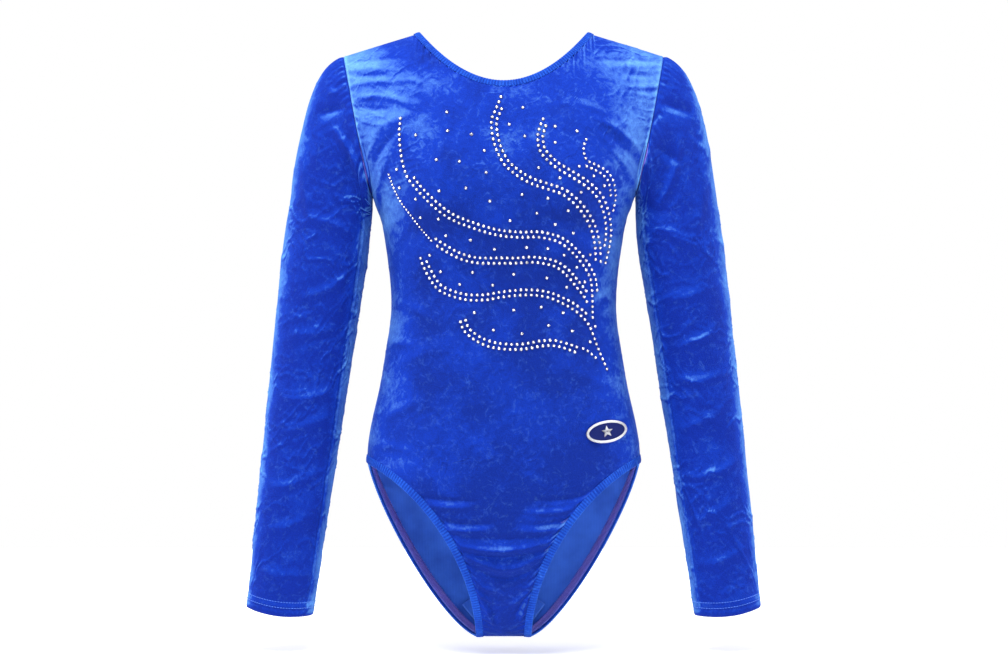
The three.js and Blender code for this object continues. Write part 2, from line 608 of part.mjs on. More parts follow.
// A place on the patch, a along it and b across, in its own tilted axes.
function onPatch(a, b) {
  const tilt = THREE.MathUtils.degToRad(PATCH_TILT);
  const x = PATCH.x + a * Math.cos(tilt) - b * Math.sin(tilt);
  return onFront(x, PATCH.z + a * Math.sin(tilt) + b * Math.cos(tilt));
}
function patchOval(inset) {
  const places = [];
  for (let k = 0; k < PATCH_SIDES; k++) {
    const turn = (2 * Math.PI * k) / PATCH_SIDES;
    const [long, high] = [PATCH_LENGTH / 2 - inset, PATCH_HEIGHT / 2 - inset];
    places.push(onPatch(long * Math.cos(turn), high * Math.sin(turn)));
  }
  return places;
}
function patchBase() {
  const rings = [patchOval(0), patchOval(PATCH_HEIGHT / 4)];
  const centre = onPatch(0, 0);
  const places = [...rings.flat(), centre];
  const points = [PATCH_BASE.to, PATCH_BASE.from].flatMap((d) => places.map((place) => moved(place, d)));
  const [inner, middleTop, half] = [PATCH_SIDES, 2 * PATCH_SIDES, places.length];
  const quads = [];
  const triangles = [];
  for (let k = 0; k < PATCH_SIDES; k++) {
    const next = (k + 1) % PATCH_SIDES;
    quads.push([k, next, inner + next, inner + k]);
    quads.push([half + k, half + inner + k, half + inner + next, half + next]);
    quads.push([half + k, half + next, next, k]);
    triangles.push([inner + k, inner + next, middleTop]);
    triangles.push([half + inner + next, half + inner + k, half + middleTop]);
  }
  return solid(points, quads, triangles);
}
const STAR = { points: 5, outer: 6.6, inner: 2.9 };
function patchStar() {
  const places = [];
  for (let k = 0; k < 2 * STAR.points; k++) {
    const radius = k % 2 ? STAR.inner : STAR.outer;
    const turn = Math.PI / 2 + (Math.PI * k) / STAR.points;
    places.push(onPatch(radius * Math.cos(turn), radius * Math.sin(turn)));
  }
  places.push(onPatch(0, 0));
  const points = [PATCH_TOP.to, PATCH_TOP.from].flatMap((d) => places.map((place) => moved(place, d)));
  const [centre, half] = [2 * STAR.points, places.length];
  const quads = [];
  const triangles = [];
  for (let k = 0; k < centre; k++) {
    const next = (k + 1) % centre;
    quads.push([half + k, half + next, next, k]);
    triangles.push([k, next, centre]);
    triangles.push([half + next, half + k, half + centre]);
  }
  return solid(points, quads, triangles);
}
const border = bar(-BORDER_WIDTH / 2, BORDER_WIDTH / 2, PATCH_TOP.from, PATCH_TOP.to);
add("hip_patch_base", patchBase(), MATERIAL.navy);
add("hip_patch_border", strip(patchOval(BORDER_WIDTH / 2), border, true), MATERIAL.silver);
add("hip_patch_star", patchStar(), MATERIAL.silver);

export default leotard;
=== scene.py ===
import math

import bpy
import numpy as np
from mathutils import Matrix, Vector
from mathutils.bvhtree import BVHTree


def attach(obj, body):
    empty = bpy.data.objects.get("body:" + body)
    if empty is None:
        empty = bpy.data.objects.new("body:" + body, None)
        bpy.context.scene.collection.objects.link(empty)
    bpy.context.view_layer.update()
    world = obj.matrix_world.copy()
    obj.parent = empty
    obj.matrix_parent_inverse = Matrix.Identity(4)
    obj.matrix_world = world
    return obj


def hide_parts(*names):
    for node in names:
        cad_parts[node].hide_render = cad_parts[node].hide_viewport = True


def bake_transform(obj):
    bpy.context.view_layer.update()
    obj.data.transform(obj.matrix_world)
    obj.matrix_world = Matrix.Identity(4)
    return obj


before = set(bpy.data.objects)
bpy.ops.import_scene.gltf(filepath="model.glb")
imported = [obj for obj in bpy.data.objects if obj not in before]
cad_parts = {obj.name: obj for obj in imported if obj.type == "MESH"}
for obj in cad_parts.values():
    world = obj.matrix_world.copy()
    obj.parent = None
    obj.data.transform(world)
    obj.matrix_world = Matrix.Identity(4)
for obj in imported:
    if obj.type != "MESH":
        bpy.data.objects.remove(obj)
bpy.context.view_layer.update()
scene = bpy.context.scene

# ---- Camera, floor and light -----------------------------------------------------------------------------
# A level view of the front from 2.7 m, as of a garment on a stand, over a pale floor, in the soft light of
# a
# white studio with one broad lamp above and in front of it.
VIEW_DISTANCE = 2.7
VIEW_HEIGHT = -0.3405
FRAME_WIDTH = 1.1405  # metres across the picture at the garment
camera = bpy.data.objects.new("camera", bpy.data.cameras.new("camera"))
camera.data.sensor_width = 36.0
camera.data.lens = 36.0 * VIEW_DISTANCE / FRAME_WIDTH
camera.location = (0.0004, -VIEW_DISTANCE, VIEW_HEIGHT)
camera.rotation_euler = (math.radians(90), 0, 0)
scene.collection.objects.link(camera)
scene.camera = camera
scene.view_settings.view_transform = "Standard"


def linear(hex_colour):
    """The linear value of an sRGB hex colour, with alpha 1."""
    values = [int(hex_colour[i : i + 2], 16) / 255 for i in (1, 3, 5)]
    return [v / 12.92 if v <= 0.04045 else ((v + 0.055) / 1.055) ** 2.4 for v in values] + [1.0]


def new_material(name):
    """A material with only its output, as (node tree, output node)."""
    material = bpy.data.materials.new(name)
    material.use_nodes = True
    material.node_tree.nodes.clear()
    output = material.node_tree.nodes.new("ShaderNodeOutputMaterial")
    return material, output


def node(tree, kind, inputs=None, **settings):
    """Adds a node. An input that is an output socket is linked, and anything else is set."""
    made = tree.nodes.new(kind)
    for key, value in settings.items():
        setattr(made, key, value)
    for key, value in (inputs or {}).items():
        if isinstance(value, bpy.types.NodeSocket):
            tree.links.new(value, made.inputs[key])
        else:
            made.inputs[key].default_value = value
    return made


def ramp(tree, factor, *stops):
    """A colour ramp through (position, hex colour) stops."""
    made = node(tree, "ShaderNodeValToRGB", {"Fac": factor})
    elements = made.color_ramp.elements
    while len(elements) < len(stops):
        elements.new(0.5)
    for element, (position, colour) in zip(elements, stops):
        element.position = position
        element.color = linear(colour)
    return made.outputs["Color"]


FLOOR_HEIGHT = -0.697
floor_mesh = bpy.data.meshes.new("floor")
floor_mesh.from_pydata([(-1.7, -1.6, 0), (1.7, -1.6, 0), (1.7, 1.3, 0), (-1.7, 1.3, 0)], [], [(0, 1, 2, 3)])
floor_mesh.transform(Matrix.Translation((0, 0, FLOOR_HEIGHT)))
floor = bpy.data.objects.new("floor", floor_mesh)
scene.collection.objects.link(floor)
pale_paint, paint_output = new_material("pale_floor_paint")
tree = pale_paint.node_tree
paint = node(tree, "ShaderNodeBsdfPrincipled", {
    "Base Color": linear("#fbfbfb"), "Roughness": 0.9, "Emission Color": (1, 1, 1, 1),
    "Emission Strength": 0.42})
tree.links.new(paint.outputs[0], paint_output.inputs[0])
floor_mesh.materials.append(pale_paint)

world = bpy.data.worlds.new("studio")
scene.world = world
world.use_nodes = True
sky = world.node_tree
direction = node(sky, "ShaderNodeTexCoord").outputs["Generated"]
height = node(sky, "ShaderNodeSeparateXYZ", {0: direction}).outputs["Z"]
# white below and up to some 20 degrees above the horizon, under a dimmer ceiling
walls = node(sky, "ShaderNodeMapRange", {"Value": height, 1: 0.28, 2: 0.5, 3: 1.0, 4: 0.3}).outputs[0]
sky.links.new(walls, sky.nodes["Background"].inputs["Strength"])
sky.nodes["Background"].inputs["Color"].default_value = (1, 1, 1, 1)


def lamp(name, place, aim, size, power):
    """A square area lamp at a place, turned to face aim."""
    data = bpy.data.lights.new(name, "AREA")
    data.size = size
    data.energy = power
    obj = bpy.data.objects.new(name, data)
    obj.location = place
    direction = Vector(aim) - obj.location
    obj.rotation_euler = direction.to_track_quat("-Z", "Y").to_euler()
    scene.collection.objects.link(obj)


lamp("key_lamp", (-0.3, -1.2, 2.2), (0, 0, -0.3), 1.3, 130)
lamp("left_lamp", (2.4, 0.3, 0.3), (0, 0, -0.3), 1.0, 30)
lamp("right_lamp", (-2.4, 0.3, 0.3), (0, 0, -0.3), 1.0, 30)

# ---- Front and back body panels --------------------------------------------------------------------------
# Two pieces of crushed stretch velvet on a body's form, sewn at the sides, shoulders and crotch. The cloth
# is
# drawn in by its elastic edges, so it puckers along the neck and the legs and hangs in folds above the
# crotch.
MM = 0.001
BODY_LENGTH, NECK_HALF, NECK_DROP_FRONT, NECK_DROP_BACK = 680, 101, 66, 135
SHOULDER_HALF, SHOULDER_DROP, CHEST_HALF, ARMPIT_DROP = 181, 25, 149, 182
WAIST_HALF, WAIST_DROP, HIP_HALF, HIP_DROP, CROTCH_HALF = 127, 305, 154, 475, 23.5
NECK_SHARE = 0.6  # of a panel's width, up to the neck point
SEAM_GAP = 0.1  # between the panels along a seam
LEVELS = np.array([  # drop, half width, depth in front, depth behind
    [-40, 199, 60, 50],
    [0, 197, 68, 60],
    [60, 190, 84, 84],
    [120, 180, 102, 98],
    [165, 161, 108, 99],
    [ARMPIT_DROP, CHEST_HALF, 109, 97],
    [227, 134.9, 103, 88],
    [WAIST_DROP, WAIST_HALF, 90, 70],
    [381.5, 137, 92, 84],
    [HIP_DROP, HIP_HALF, 95, 106],
    [557, 155, 95, 112],
    [BODY_LENGTH, 149, 95, 112],
], float)


def level_curve(column):
    """A curve through the levels that never overshoots them: cubic pieces with limited slopes."""
    x, y = LEVELS[:, 0], LEVELS[:, column]
    h = np.diff(x)
    slope = np.diff(y) / h
    a, b = 2 * h[1:] + h[:-1], h[1:] + 2 * h[:-1]
    same = slope[:-1] * slope[1:] > 0
    safe = np.where(same, slope[:-1], 1), np.where(same, slope[1:], 1)
    inner = np.where(same, (a + b) / (a / safe[0] + b / safe[1]), 0)
    tangent = np.concatenate([slope[:1], inner, slope[-1:]])

    def curve(drop):
        d = np.clip(drop, x[0], x[-1])
        i = np.clip(np.searchsorted(x, d) - 1, 0, len(h) - 1)
        t = (d - x[i]) / h[i]
        rise = y[i] * (1 + 2 * t) * (1 - t) ** 2 + y[i + 1] * t * t * (3 - 2 * t)
        return rise + h[i] * (tangent[i] * t * (1 - t) ** 2 - tangent[i + 1] * t * t * (1 - t))

    return curve


half_width, front_depth, back_depth = level_curve(1), level_curve(2), level_curve(3)
SLOPE = SHOULDER_DROP / (SHOULDER_HALF - NECK_HALF)
FRONT, BACK = -1, 1


def smooth(t):
    """0 below 0, 1 above 1 and an S-curve between."""
    t = np.clip(t, 0, 1)
    return t * t * (3 - 2 * t)


def ridge(x):
    """Height of the shoulder line: straight down from the neck point, rounded over the middle."""
    return SLOPE * (math.hypot(NECK_HALF, 30) - np.hypot(x, 30))


def oval(t, power):
    """Distance out at a share t of the half width of a rounded section."""
    return (1 - np.clip(t, 0, 1) ** power) ** (1 / power)


def bell(x, width):
    """1 at 0, falling away on both sides: exp(-(x / width)^2)."""
    return np.exp(-((x / width) ** 2))


def form_depth(side, x, z):
    """How far the cloth lies in front of or behind the side seams: (depth(drop) + bell at the bust or seat)
    * oval(across) * oval(up to the shoulder) * oval(down to the crotch)."""
    drop = -z
    if side == FRONT:
        depth = front_depth(drop) + 9 * bell(np.abs(x) - 72, 44) * bell(drop - 170, 46)
    else:
        depth = back_depth(drop) + 10 * bell(np.abs(x) - 68, 46) * bell(drop - 519, 56)
    across = oval(np.abs(x) / half_width(drop), 2.4)
    top = oval((z - ridge(x) + 115) / 115, 2.2)
    bottom = oval((drop - BODY_LENGTH + 190) / 190, 1.9)
    return depth * across * top * bottom


def form_place(side, x, z):
    """The point of the form at (x, z) of the front view, half a seam's gap off the middle plane."""
    return np.stack([x, side * (SEAM_GAP / 2 + form_depth(side, x, z)), z], -1)


def form_normal(side, x, z):
    """The outward direction, from the slope of the form just inside its outline."""
    e = 0.05
    zc = np.clip(z, 2 * e - BODY_LENGTH, ridge(x) - 2 * e)
    reach = half_width(-zc) - 2 * e
    xc = np.clip(x, -reach, reach)
    across = form_depth(side, xc + e, zc) - form_depth(side, xc - e, zc)
    up = form_depth(side, xc, zc + e) - form_depth(side, xc, zc - e)
    n = np.stack([-across, np.full_like(across, side * 2 * e), -up], -1)
    return n / np.linalg.norm(n, axis=-1, keepdims=True)


def bezier(points, t):
    """Cubic curve through four control points, at the shares t."""
    p = np.array(points, float)
    t = np.asarray(t)[..., None]
    return (1 - t) ** 3 * p[0] + 3 * (1 - t) ** 2 * t * p[1] + 3 * (1 - t) * t * t * p[2] + t**3 * p[3]


LEG_HEIGHT, LEG_WIDTH = BODY_LENGTH - HIP_DROP, HIP_HALF - CROTCH_HALF
LEG_LINE = {
    FRONT: [(CROTCH_HALF, -BODY_LENGTH), (CROTCH_HALF, 0.475 * LEG_HEIGHT - BODY_LENGTH),
            (HIP_HALF - 0.467 * LEG_WIDTH, -HIP_DROP - 0.1 * LEG_HEIGHT), (HIP_HALF, -HIP_DROP)],
    BACK: [(CROTCH_HALF, -BODY_LENGTH), (CROTCH_HALF + 0.323 * LEG_WIDTH, 0.049 * LEG_HEIGHT - BODY_LENGTH),
           (HIP_HALF - 0.091 * LEG_WIDTH, -HIP_DROP - 0.341 * LEG_HEIGHT), (HIP_HALF, -HIP_DROP)],
}


def top_line(side, across):
    """The neckline and then the shoulder line, over a panel's half width."""
    t = np.sin(np.clip(across / NECK_SHARE, 0, 1) * np.pi / 2)
    drop = NECK_DROP_FRONT * (1 - t * t) ** 0.95 if side == FRONT else NECK_DROP_BACK * (1 - t**2.2) ** 0.9
    s = np.clip((across - NECK_SHARE) / (1 - NECK_SHARE), 0, 1)
    x = np.where(across <= NECK_SHARE, NECK_HALF * t, NECK_HALF + (SHOULDER_HALF - NECK_HALF) * s)
    return x, np.where(across <= NECK_SHARE, -drop, ridge(x))


def panel_plan(side, across, leg, side_up, chest):
    """Where a panel's cloth is in the front view, as (x, z). across is -1 to 1; leg, side_up and chest are
    the shares of the three stretches of its edge, from the crotch up, each used where the next is 0."""
    a = np.abs(across)
    sine = np.sin(a * np.pi / 2)
    edge = bezier(LEG_LINE[side], leg)
    turn = np.arcsin(np.minimum(1, edge[..., 0] / half_width(-edge[..., 1])))
    share = np.sin(a * turn) / np.sin(turn)
    x_leg = edge[..., 0] * share
    z_leg = (leg * LEG_HEIGHT - BODY_LENGTH) * (1 - share**2) + edge[..., 1] * share**2
    z_side = -HIP_DROP + (HIP_DROP - ARMPIT_DROP) * side_up
    x_side = half_width(-z_side) * sine
    top_x, top_z = top_line(side, a)
    x_chest = CHEST_HALF * sine * (1 - chest) + top_x * chest
    z_chest = -ARMPIT_DROP * (1 - chest) + top_z * chest
    x = np.where(chest > 0, x_chest, np.where(side_up > 0, x_side, x_leg))
    z = np.where(chest > 0, z_chest, np.where(side_up > 0, z_side, z_leg))
    return np.sign(across) * x, z


def panel_grid(side, columns, leg_rows, side_rows, chest_rows):
    """Rows from the crotch up and columns from -1 to 1, as (across, leg, side_up, chest), set closer
    together where the form turns away at its edges."""
    leg = smooth(np.linspace(0, 1, leg_rows + 1))
    side_up = np.linspace(0, 1, side_rows + 1)[1:]
    u = np.linspace(0, 1, chest_rows + 1)[1:]
    chest = 0.4 * u + 0.6 * np.sin(u * np.pi / 2)
    zeros = np.zeros
    rows = [np.concatenate(r) for r in (
        (leg, np.ones(side_rows + chest_rows)),
        (zeros(leg_rows + 1), side_up, np.ones(chest_rows)),
        (zeros(leg_rows + side_rows + 1), chest),
    )]
    across = np.linspace(-1, 1, 2 * columns + 1)
    shape = (len(rows[0]), len(across))
    return [np.broadcast_to(across, shape)] + [np.broadcast_to(r[:, None], shape) for r in rows]


def lattice_noise(x, y, size, seed):
    """Smooth random relief from -1 to 1: random values on a square lattice, blended across each square."""
    table = np.random.default_rng(seed).uniform(-1, 1, (64, 64))
    gx, gy = x / size, y / size
    ix, iy = np.floor(gx).astype(int), np.floor(gy).astype(int)
    fx, fy = smooth(gx - ix), smooth(gy - iy)
    at = lambda a, b: table[(ix + a) % 64, (iy + b) % 64]
    low = at(0, 0) * (1 - fx) + at(1, 0) * fx
    high = at(0, 1) * (1 - fx) + at(1, 1) * fx
    return low * (1 - fy) + high * fy


def crush(x, y, seed):
    """The relief of crushed velvet: crossing sharp little ridges, bent by a slower wander. In millimetres."""
    wx = x + 9 * lattice_noise(x, y, 26, seed) + 3 * lattice_noise(x, y, 9, seed + 1)
    wy = y + 9 * lattice_noise(x, y, 26, seed + 2) + 3 * lattice_noise(x, y, 9, seed + 3)
    relief = np.zeros_like(x)
    for k, angle in enumerate((0.35, 1.25, 2.1, 2.8)):
        along = wx * math.cos(angle) + wy * math.sin(angle)
        cross = wy * math.cos(angle) - wx * math.sin(angle)
        sharp = 1 - np.abs(lattice_noise(along / 3.2, cross, 8, seed + 5 + k)) * 2.6
        relief += np.clip(sharp, 0, 1) ** 3 * np.clip(lattice_noise(along / 2, cross, 24, seed + 11 + k), 0,
                                                      1)
    return 0.75 * relief + 0.5 * lattice_noise(x, y, 38, seed + 20)


def fold(x, z, start, end, width, height, bow=0.0):
    """A ridge (or a valley, if height is below 0) along a line, bowed sideways in its middle and dying
    away at both ends: a bell across the line times a sine along it."""
    a, b = np.array(start, float), np.array(end, float)
    length = np.linalg.norm(b - a)
    d = (b - a) / length
    s = ((x - a[0]) * d[0] + (z - a[1]) * d[1]) / length
    off = (z - a[1]) * d[0] - (x - a[0]) * d[1] - bow * np.sin(np.pi * np.clip(s, 0, 1))
    return height * bell(off, width) * np.sin(np.pi * np.clip(s, 0, 1)) ** 0.7


def gathers(along, distance, pitch, depth, reach, seed):
    """Puckers beside an elastic edge: uneven waves along it that die away with the distance from it."""
    wander = along + 2.6 * lattice_noise(along, distance * 0.4, 17, seed)
    wave = 0.6 * np.cos(2 * np.pi * wander / pitch) + 0.4 * np.cos(2 * np.pi * wander / (1.7 * pitch) + 1.1)
    strong = 0.75 + 0.6 * lattice_noise(along, distance * 0, 31, seed + 1)
    return depth * strong * wave * np.exp(-distance / reach) * smooth(distance / 1.5 + 0.25)


FRONT_FOLDS = [  # start, end, width, height, bow: the folds of the front, in millimetres
    # under the shoulders, from the armhole towards the neck
    ((-184, -33), (-104, -31), 3.5, -1.6, 0), ((-180, -41), (-112, -48), 4, 1.6, 2),
    ((-178, -50), (-126, -52), 3.5, -2.0, 0), ((-174, -60), (-104, -62), 3.5, 1.9, 2),
    ((-172, -78), (-108, -84), 4, 2.6, 5), ((-168, -88), (-122, -92), 4, -1.9, 0),
    ((-120, -58), (-84, -66), 3.5, 1.5, 3), ((-130, -72), (-92, -88), 4, 1.6, -3),
    ((-164, -100), (-130, -110), 3.5, 1.5, 0), ((184, -32), (100, -34), 3.5, -1.7, 0),
    ((180, -40), (112, -44), 4, 1.5, -2), ((176, -52), (128, -50), 3.5, -1.6, 0),
    ((174, -62), (132, -64), 3.5, 1.6, 2), ((170, -76), (138, -72), 3.5, 1.3, 0),
    # from the bust up to the armpits
    ((96, -100), (156, -142), 4, 2.8, 5), ((104, -112), (156, -158), 5, -2.4, 2),
    ((78, -84), (118, -104), 4, 1.4, 3), ((112, -132), (148, -176), 3.5, 1.9, 3),
    ((-96, -96), (-150, -128), 5, 1.8, -6), ((-110, -110), (-150, -170), 4, -2.4, -6),
    ((-122, -134), (-142, -206), 4.5, 2.8, -5), ((-138, -120), (-156, -150), 3, 1.6, 0),
    ((126, -164), (146, -214), 4, 1.9, 3), ((128, -150), (142, -210), 3.5, -1.8, 0),
    ((-140, -158), (-134, -220), 3.5, -1.8, 0),
    # soft drags over the waist and the belly
    ((-126, -300), (-70, -330), 6, 0.9, 4), ((124, -290), (70, -330), 6, 0.9, -4),
    ((-128, -380), (-60, -350), 7, 0.9, 3), ((134, -400), (60, -372), 7, 0.8, 3),
    ((-140, -440), (-90, -410), 6, 0.9, 2), ((-134, -346), (-92, -352), 5, 0.9, 0),
    ((136, -430), (84, -446), 5, 0.9, 3), ((-146, -462), (-96, -470), 5, 0.8, 3),
    # hanging between the legs
    ((-98, -516), (-22, -520), 3.2, -1.9, -3), ((98, -514), (30, -520), 3.2, -1.7, 3),
    ((-92, -524), (-30, -527), 3.5, 1.7, -3), ((88, -528), (22, -533), 3.5, 2.2, 3),
    ((-80, -541), (-6, -545), 3.2, -2.0, -4), ((82, -540), (14, -546), 3.2, -1.9, 4),
    ((-76, -549), (-10, -552), 3.2, 1.7, -4), ((70, -548), (10, -553), 3, 1.4, 4),
    ((-66, -559), (66, -558), 3.4, -1.7, -5), ((-56, -569), (56, -565), 3.4, 3.8, -9),
    ((-54, -577), (54, -574), 3, -2.9, -9), ((-44, -579), (46, -580), 3.8, 3.6, -17),
    ((-42, -589), (44, -590), 3.2, -2.3, -18), ((-36, -601), (-8, -624), 3.2, 2.5, -4),
    ((38, -604), (14, -620), 3.2, 2.3, 4), ((-34, -612), (-12, -636), 2.8, 2.6, -3),
    ((33, -612), (6, -640), 2.8, 2.6, 3), ((-30, -624), (-11, -664), 2.6, 2.9, 2),
    ((31, -624), (19, -662), 2.6, 2.8, -2), ((-24, -628), (-6, -660), 3, -1.9, 0),
    ((24, -628), (10, -660), 3, -1.9, 0), ((0, -640), (0, -690), 9, 2.3, 0),
]
BACK_FOLDS = [
    ((-96, -140), (-160, -110), 7, 2.2, 3), ((96, -140), (160, -112), 7, 2.2, -3),
    ((-110, -276), (110, -280), 8, 1.6, -7), ((-100, -300), (100, -296), 7, -1.4, -4),
    ((-96, -318), (96, -322), 8, 1.5, 5), ((-70, -560), (70, -560), 8, 1.4, -16),
    ((-52, -608), (52, -608), 6, 1.8, -12), ((-30, -640), (30, -640), 5, 1.6, -8),
]


def panel_relief(side, across, leg, side_up, chest, x, z):
    """How far a panel's cloth stands off its form, in millimetres: crush, folds, puckers at the elastic edges
    and a groove at each seam."""
    a = np.abs(across)
    seed = 40 if side == FRONT else 140
    rough = 0.7 + 0.9 * smooth((z + 190) / 90) * smooth((np.abs(x) - 50) / 60)
    relief = 0.8 * rough * crush(x, z, seed)
    for start, end, width, height, bow in FRONT_FOLDS if side == FRONT else BACK_FOLDS:
        strength = 0.62 if start[1] > -250 else 1.0
        relief = relief + strength * fold(x, z, start, end, width, height, bow)
    line = bezier(LEG_LINE[side], leg)
    from_leg = np.hypot(line[..., 0] - np.abs(x), line[..., 1] - z) + 60 * (side_up > 0)
    low = smooth((-z - 484) / 50)
    along_leg = -line[..., 1] * 0.86 + 0.5 * line[..., 0] + 400 * (x > 0)
    relief = relief + low * gathers(along_leg, from_leg, 6.4, 2.4, 8, seed + 31)
    top_x, top_z = top_line(side, a)
    from_neck = np.hypot(top_x - np.abs(x), top_z - z) + 40 * smooth((a - NECK_SHARE) * 12)
    neck_drop = NECK_DROP_FRONT if side == FRONT else NECK_DROP_BACK
    along_neck = np.sign(across) * 0.85 * (top_x + top_z + neck_drop) + 300
    dense = 0.5 + 0.9 * smooth((top_x - 45) / 50)
    relief = relief + dense * (chest > 0) * gathers(along_neck, from_neck, 6.6, 2.0, 10, seed + 41)
    from_arm = (1 - a) * SHOULDER_HALF
    upper = smooth((-28 - z) / 14) * smooth((z + 150) / 40) * (chest > 0)
    relief = relief + upper * gathers(z, from_arm, 9, 0.9, 7, seed + 51)
    hollow = bell(z + 152, 34) * np.exp(-from_arm / 14) * (chest > 0)
    relief = relief - 6.5 * hollow * (side == FRONT)
    at_side = (1 - a) * half_width(-z)
    near_seam = np.where((side_up > 0) | (chest > 0), np.exp(-((at_side / 2.2) ** 2)), 0)
    to_ridge = np.where((chest > 0) & (a > NECK_SHARE - 0.02), ridge(x) - z, 99)
    near_ridge = bell(np.maximum(to_ridge, 0), 1.6)
    near_crotch = bell(BODY_LENGTH + z, 3) * (leg < 0.5) * (side_up == 0)
    calm = (1 - near_ridge) * (1 - 0.9 * near_seam) * (1 - near_crotch)
    edge_calm = smooth(from_leg / 2.4 + 0.1) * smooth(from_neck / 2.4 + 0.1)
    piped = 0.7 * bell((1 - a) * SHOULDER_HALF - 1.7, 1.0) * (chest > 0)
    return relief * calm * edge_calm - 0.5 * near_seam - 0.4 * near_ridge + piped


def grid_normals(points, closed):
    """Outward directions over a grid of points, from the differences between neighbours; closed joins the
    columns' ends. The cross product is along the columns first, then up the rows."""
    if closed:
        along = np.roll(points, -1, 1) - np.roll(points, 1, 1)
    else:
        along = np.gradient(points, axis=1)
    normal = np.cross(along, np.gradient(points, axis=0))
    return normal / np.maximum(np.linalg.norm(normal, axis=-1, keepdims=True), 1e-9)


def mesh_object(name, points, faces, materials=(), uv=None, smooth_shade=True):
    """A mesh from an (n, 3) array in millimetres and an (m, 3 or 4) array of corners."""
    mesh = bpy.data.meshes.new(name)
    faces = np.asarray(faces)
    mesh.vertices.add(len(points))
    mesh.vertices.foreach_set("co", (np.asarray(points, float) * MM).ravel())
    mesh.loops.add(faces.size)
    mesh.loops.foreach_set("vertex_index", faces.ravel().astype(np.int32))
    mesh.polygons.add(len(faces))
    mesh.polygons.foreach_set("loop_start", np.arange(0, faces.size, faces.shape[1], dtype=np.int32))
    mesh.polygons.foreach_set("use_smooth", np.full(len(faces), smooth_shade))
    if uv is not None:
        layer = mesh.uv_layers.new(name="cloth")
        layer.data.foreach_set("uv", np.asarray(uv, float)[faces.ravel()].ravel())
    mesh.update()
    mesh.validate()
    for material in materials:
        mesh.materials.append(material)
    obj = bpy.data.objects.new(name, mesh)
    scene.collection.objects.link(obj)
    return obj


def grid_faces(rows, columns, round_rows=False, flip=False):
    """Corners of the squares between rows and columns of points, turning left. round_rows joins the ends of
    each row, and flip turns the squares over."""
    i, j = np.meshgrid(np.arange(rows - 1), np.arange(columns if round_rows else columns - 1), indexing="ij")
    k = (j + 1) % columns
    quads = np.stack([i * columns + j, i * columns + k, (i + 1) * columns + k, (i + 1) * columns + j], -1)
    quads = quads.reshape(-1, 4)
    return quads[:, ::-1] if flip else quads


def velvet_material(name, deep, middle, light, seed):
    """Crushed stretch velvet: polyester pile that lies in every direction, so it goes lighter and darker over
    a few centimetres, with thin crooked lines where it is creased. The vertex attribute, 0 to 1, is painted
    light and shade with a little random pile tone: lighter where the cloth faces the key lamp, at grazing
    edges and on set highlights. Tone = ramp(attribute + wide noise + close noise), under a soft sheen."""
    material, output = new_material(name)
    tree = material.node_tree
    place = node(tree, "ShaderNodeTexCoord").outputs["Object"]
    shift = node(tree, "ShaderNodeMapping", {"Vector": place, "Location": (seed, 0.3 * seed, 0.7 * seed)})
    # random tone wanders over 40 mm and again over 8 mm, on top of the painted light and shade
    wide = node(tree, "ShaderNodeTexNoise", {"Vector": shift.outputs[0], "Scale": 24, "Detail": 4.0,
                                             "Roughness": 0.6, "Distortion": 0.8})
    close = node(tree, "ShaderNodeTexNoise", {"Vector": shift.outputs[0], "Scale": 120, "Detail": 5.0,
                                              "Roughness": 0.62, "Distortion": 1.2})
    # the stored painted light and shade, with some random pile tone
    pile_and_painted_light_value = node(tree, "ShaderNodeAttribute", attribute_name="pile_and_painted_light").outputs["Fac"]
    broad = node(tree, "ShaderNodeMath", {0: wide.outputs["Fac"], 1: 0.4, 2: pile_and_painted_light_value}, operation="MULTIPLY_ADD")
    both = node(tree, "ShaderNodeMath", {0: close.outputs["Fac"], 1: 0.32, 2: broad.outputs[0]},
                operation="MULTIPLY_ADD")
    pile_and_painted_light = node(tree, "ShaderNodeMath", {0: both.outputs[0], 1: 0.36}, operation="SUBTRACT")
    pile = ramp(tree, pile_and_painted_light.outputs[0], (0.12, deep), (0.36, middle), (0.95, light))
    # crease lines some 16 mm apart, bent by the same wander
    bend = node(tree, "ShaderNodeVectorMath", {0: wide.outputs["Color"], "Scale": 0.06}, operation="SCALE")
    bent = node(tree, "ShaderNodeVectorMath", {0: shift.outputs[0], 1: bend.outputs[0]}, operation="ADD")
    cells = node(tree, "ShaderNodeTexVoronoi", {"Vector": bent.outputs[0], "Scale": 60},
                 feature="DISTANCE_TO_EDGE")
    line = node(tree, "ShaderNodeMapRange", {"Value": cells.outputs["Distance"], 1: 0.0, 2: 0.13, 3: 1.0,
                                             4: 0.0})
    some = node(tree, "ShaderNodeMapRange", {"Value": close.outputs["Fac"], 1: 0.5, 2: 0.74, 3: 0.0, 4: 0.11})
    crease = node(tree, "ShaderNodeMath", {0: line.outputs[0], 1: some.outputs[0]}, operation="MULTIPLY")
    creased = node(tree, "ShaderNodeMix", {0: crease.outputs[0], 6: pile, 7: linear(light)}, data_type="RGBA")
    # single tufts, drawn 1 mm apart so that they show
    tufts = node(tree, "ShaderNodeTexNoise", {"Vector": place, "Scale": 900, "Detail": 2.0})
    fleck = node(tree, "ShaderNodeMapRange", {"Value": tufts.outputs["Fac"], 1: 0.3, 2: 0.7, 3: 0.84,
                                              4: 1.16})
    flecked = node(tree, "ShaderNodeMix", {0: 1.0, 6: creased.outputs[2], 7: fleck.outputs[0]},
                   data_type="RGBA", blend_type="MULTIPLY")
    height = node(tree, "ShaderNodeMath", {0: close.outputs["Fac"], 1: tufts.outputs["Fac"]}, operation="ADD")
    bump = node(tree, "ShaderNodeBump", {"Height": height.outputs[0], "Strength": 0.4, "Distance": 0.0012})
    shader = node(tree, "ShaderNodeBsdfPrincipled", {
        "Base Color": flecked.outputs[2], "Roughness": 0.8, "Normal": bump.outputs[0],
        "Specular IOR Level": 0.08, "Sheen Weight": 0.2, "Sheen Roughness": 0.3,
        "Sheen Tint": linear("#6aa6ff")})
    tree.links.new(shader.outputs[0], output.inputs[0])
    return material


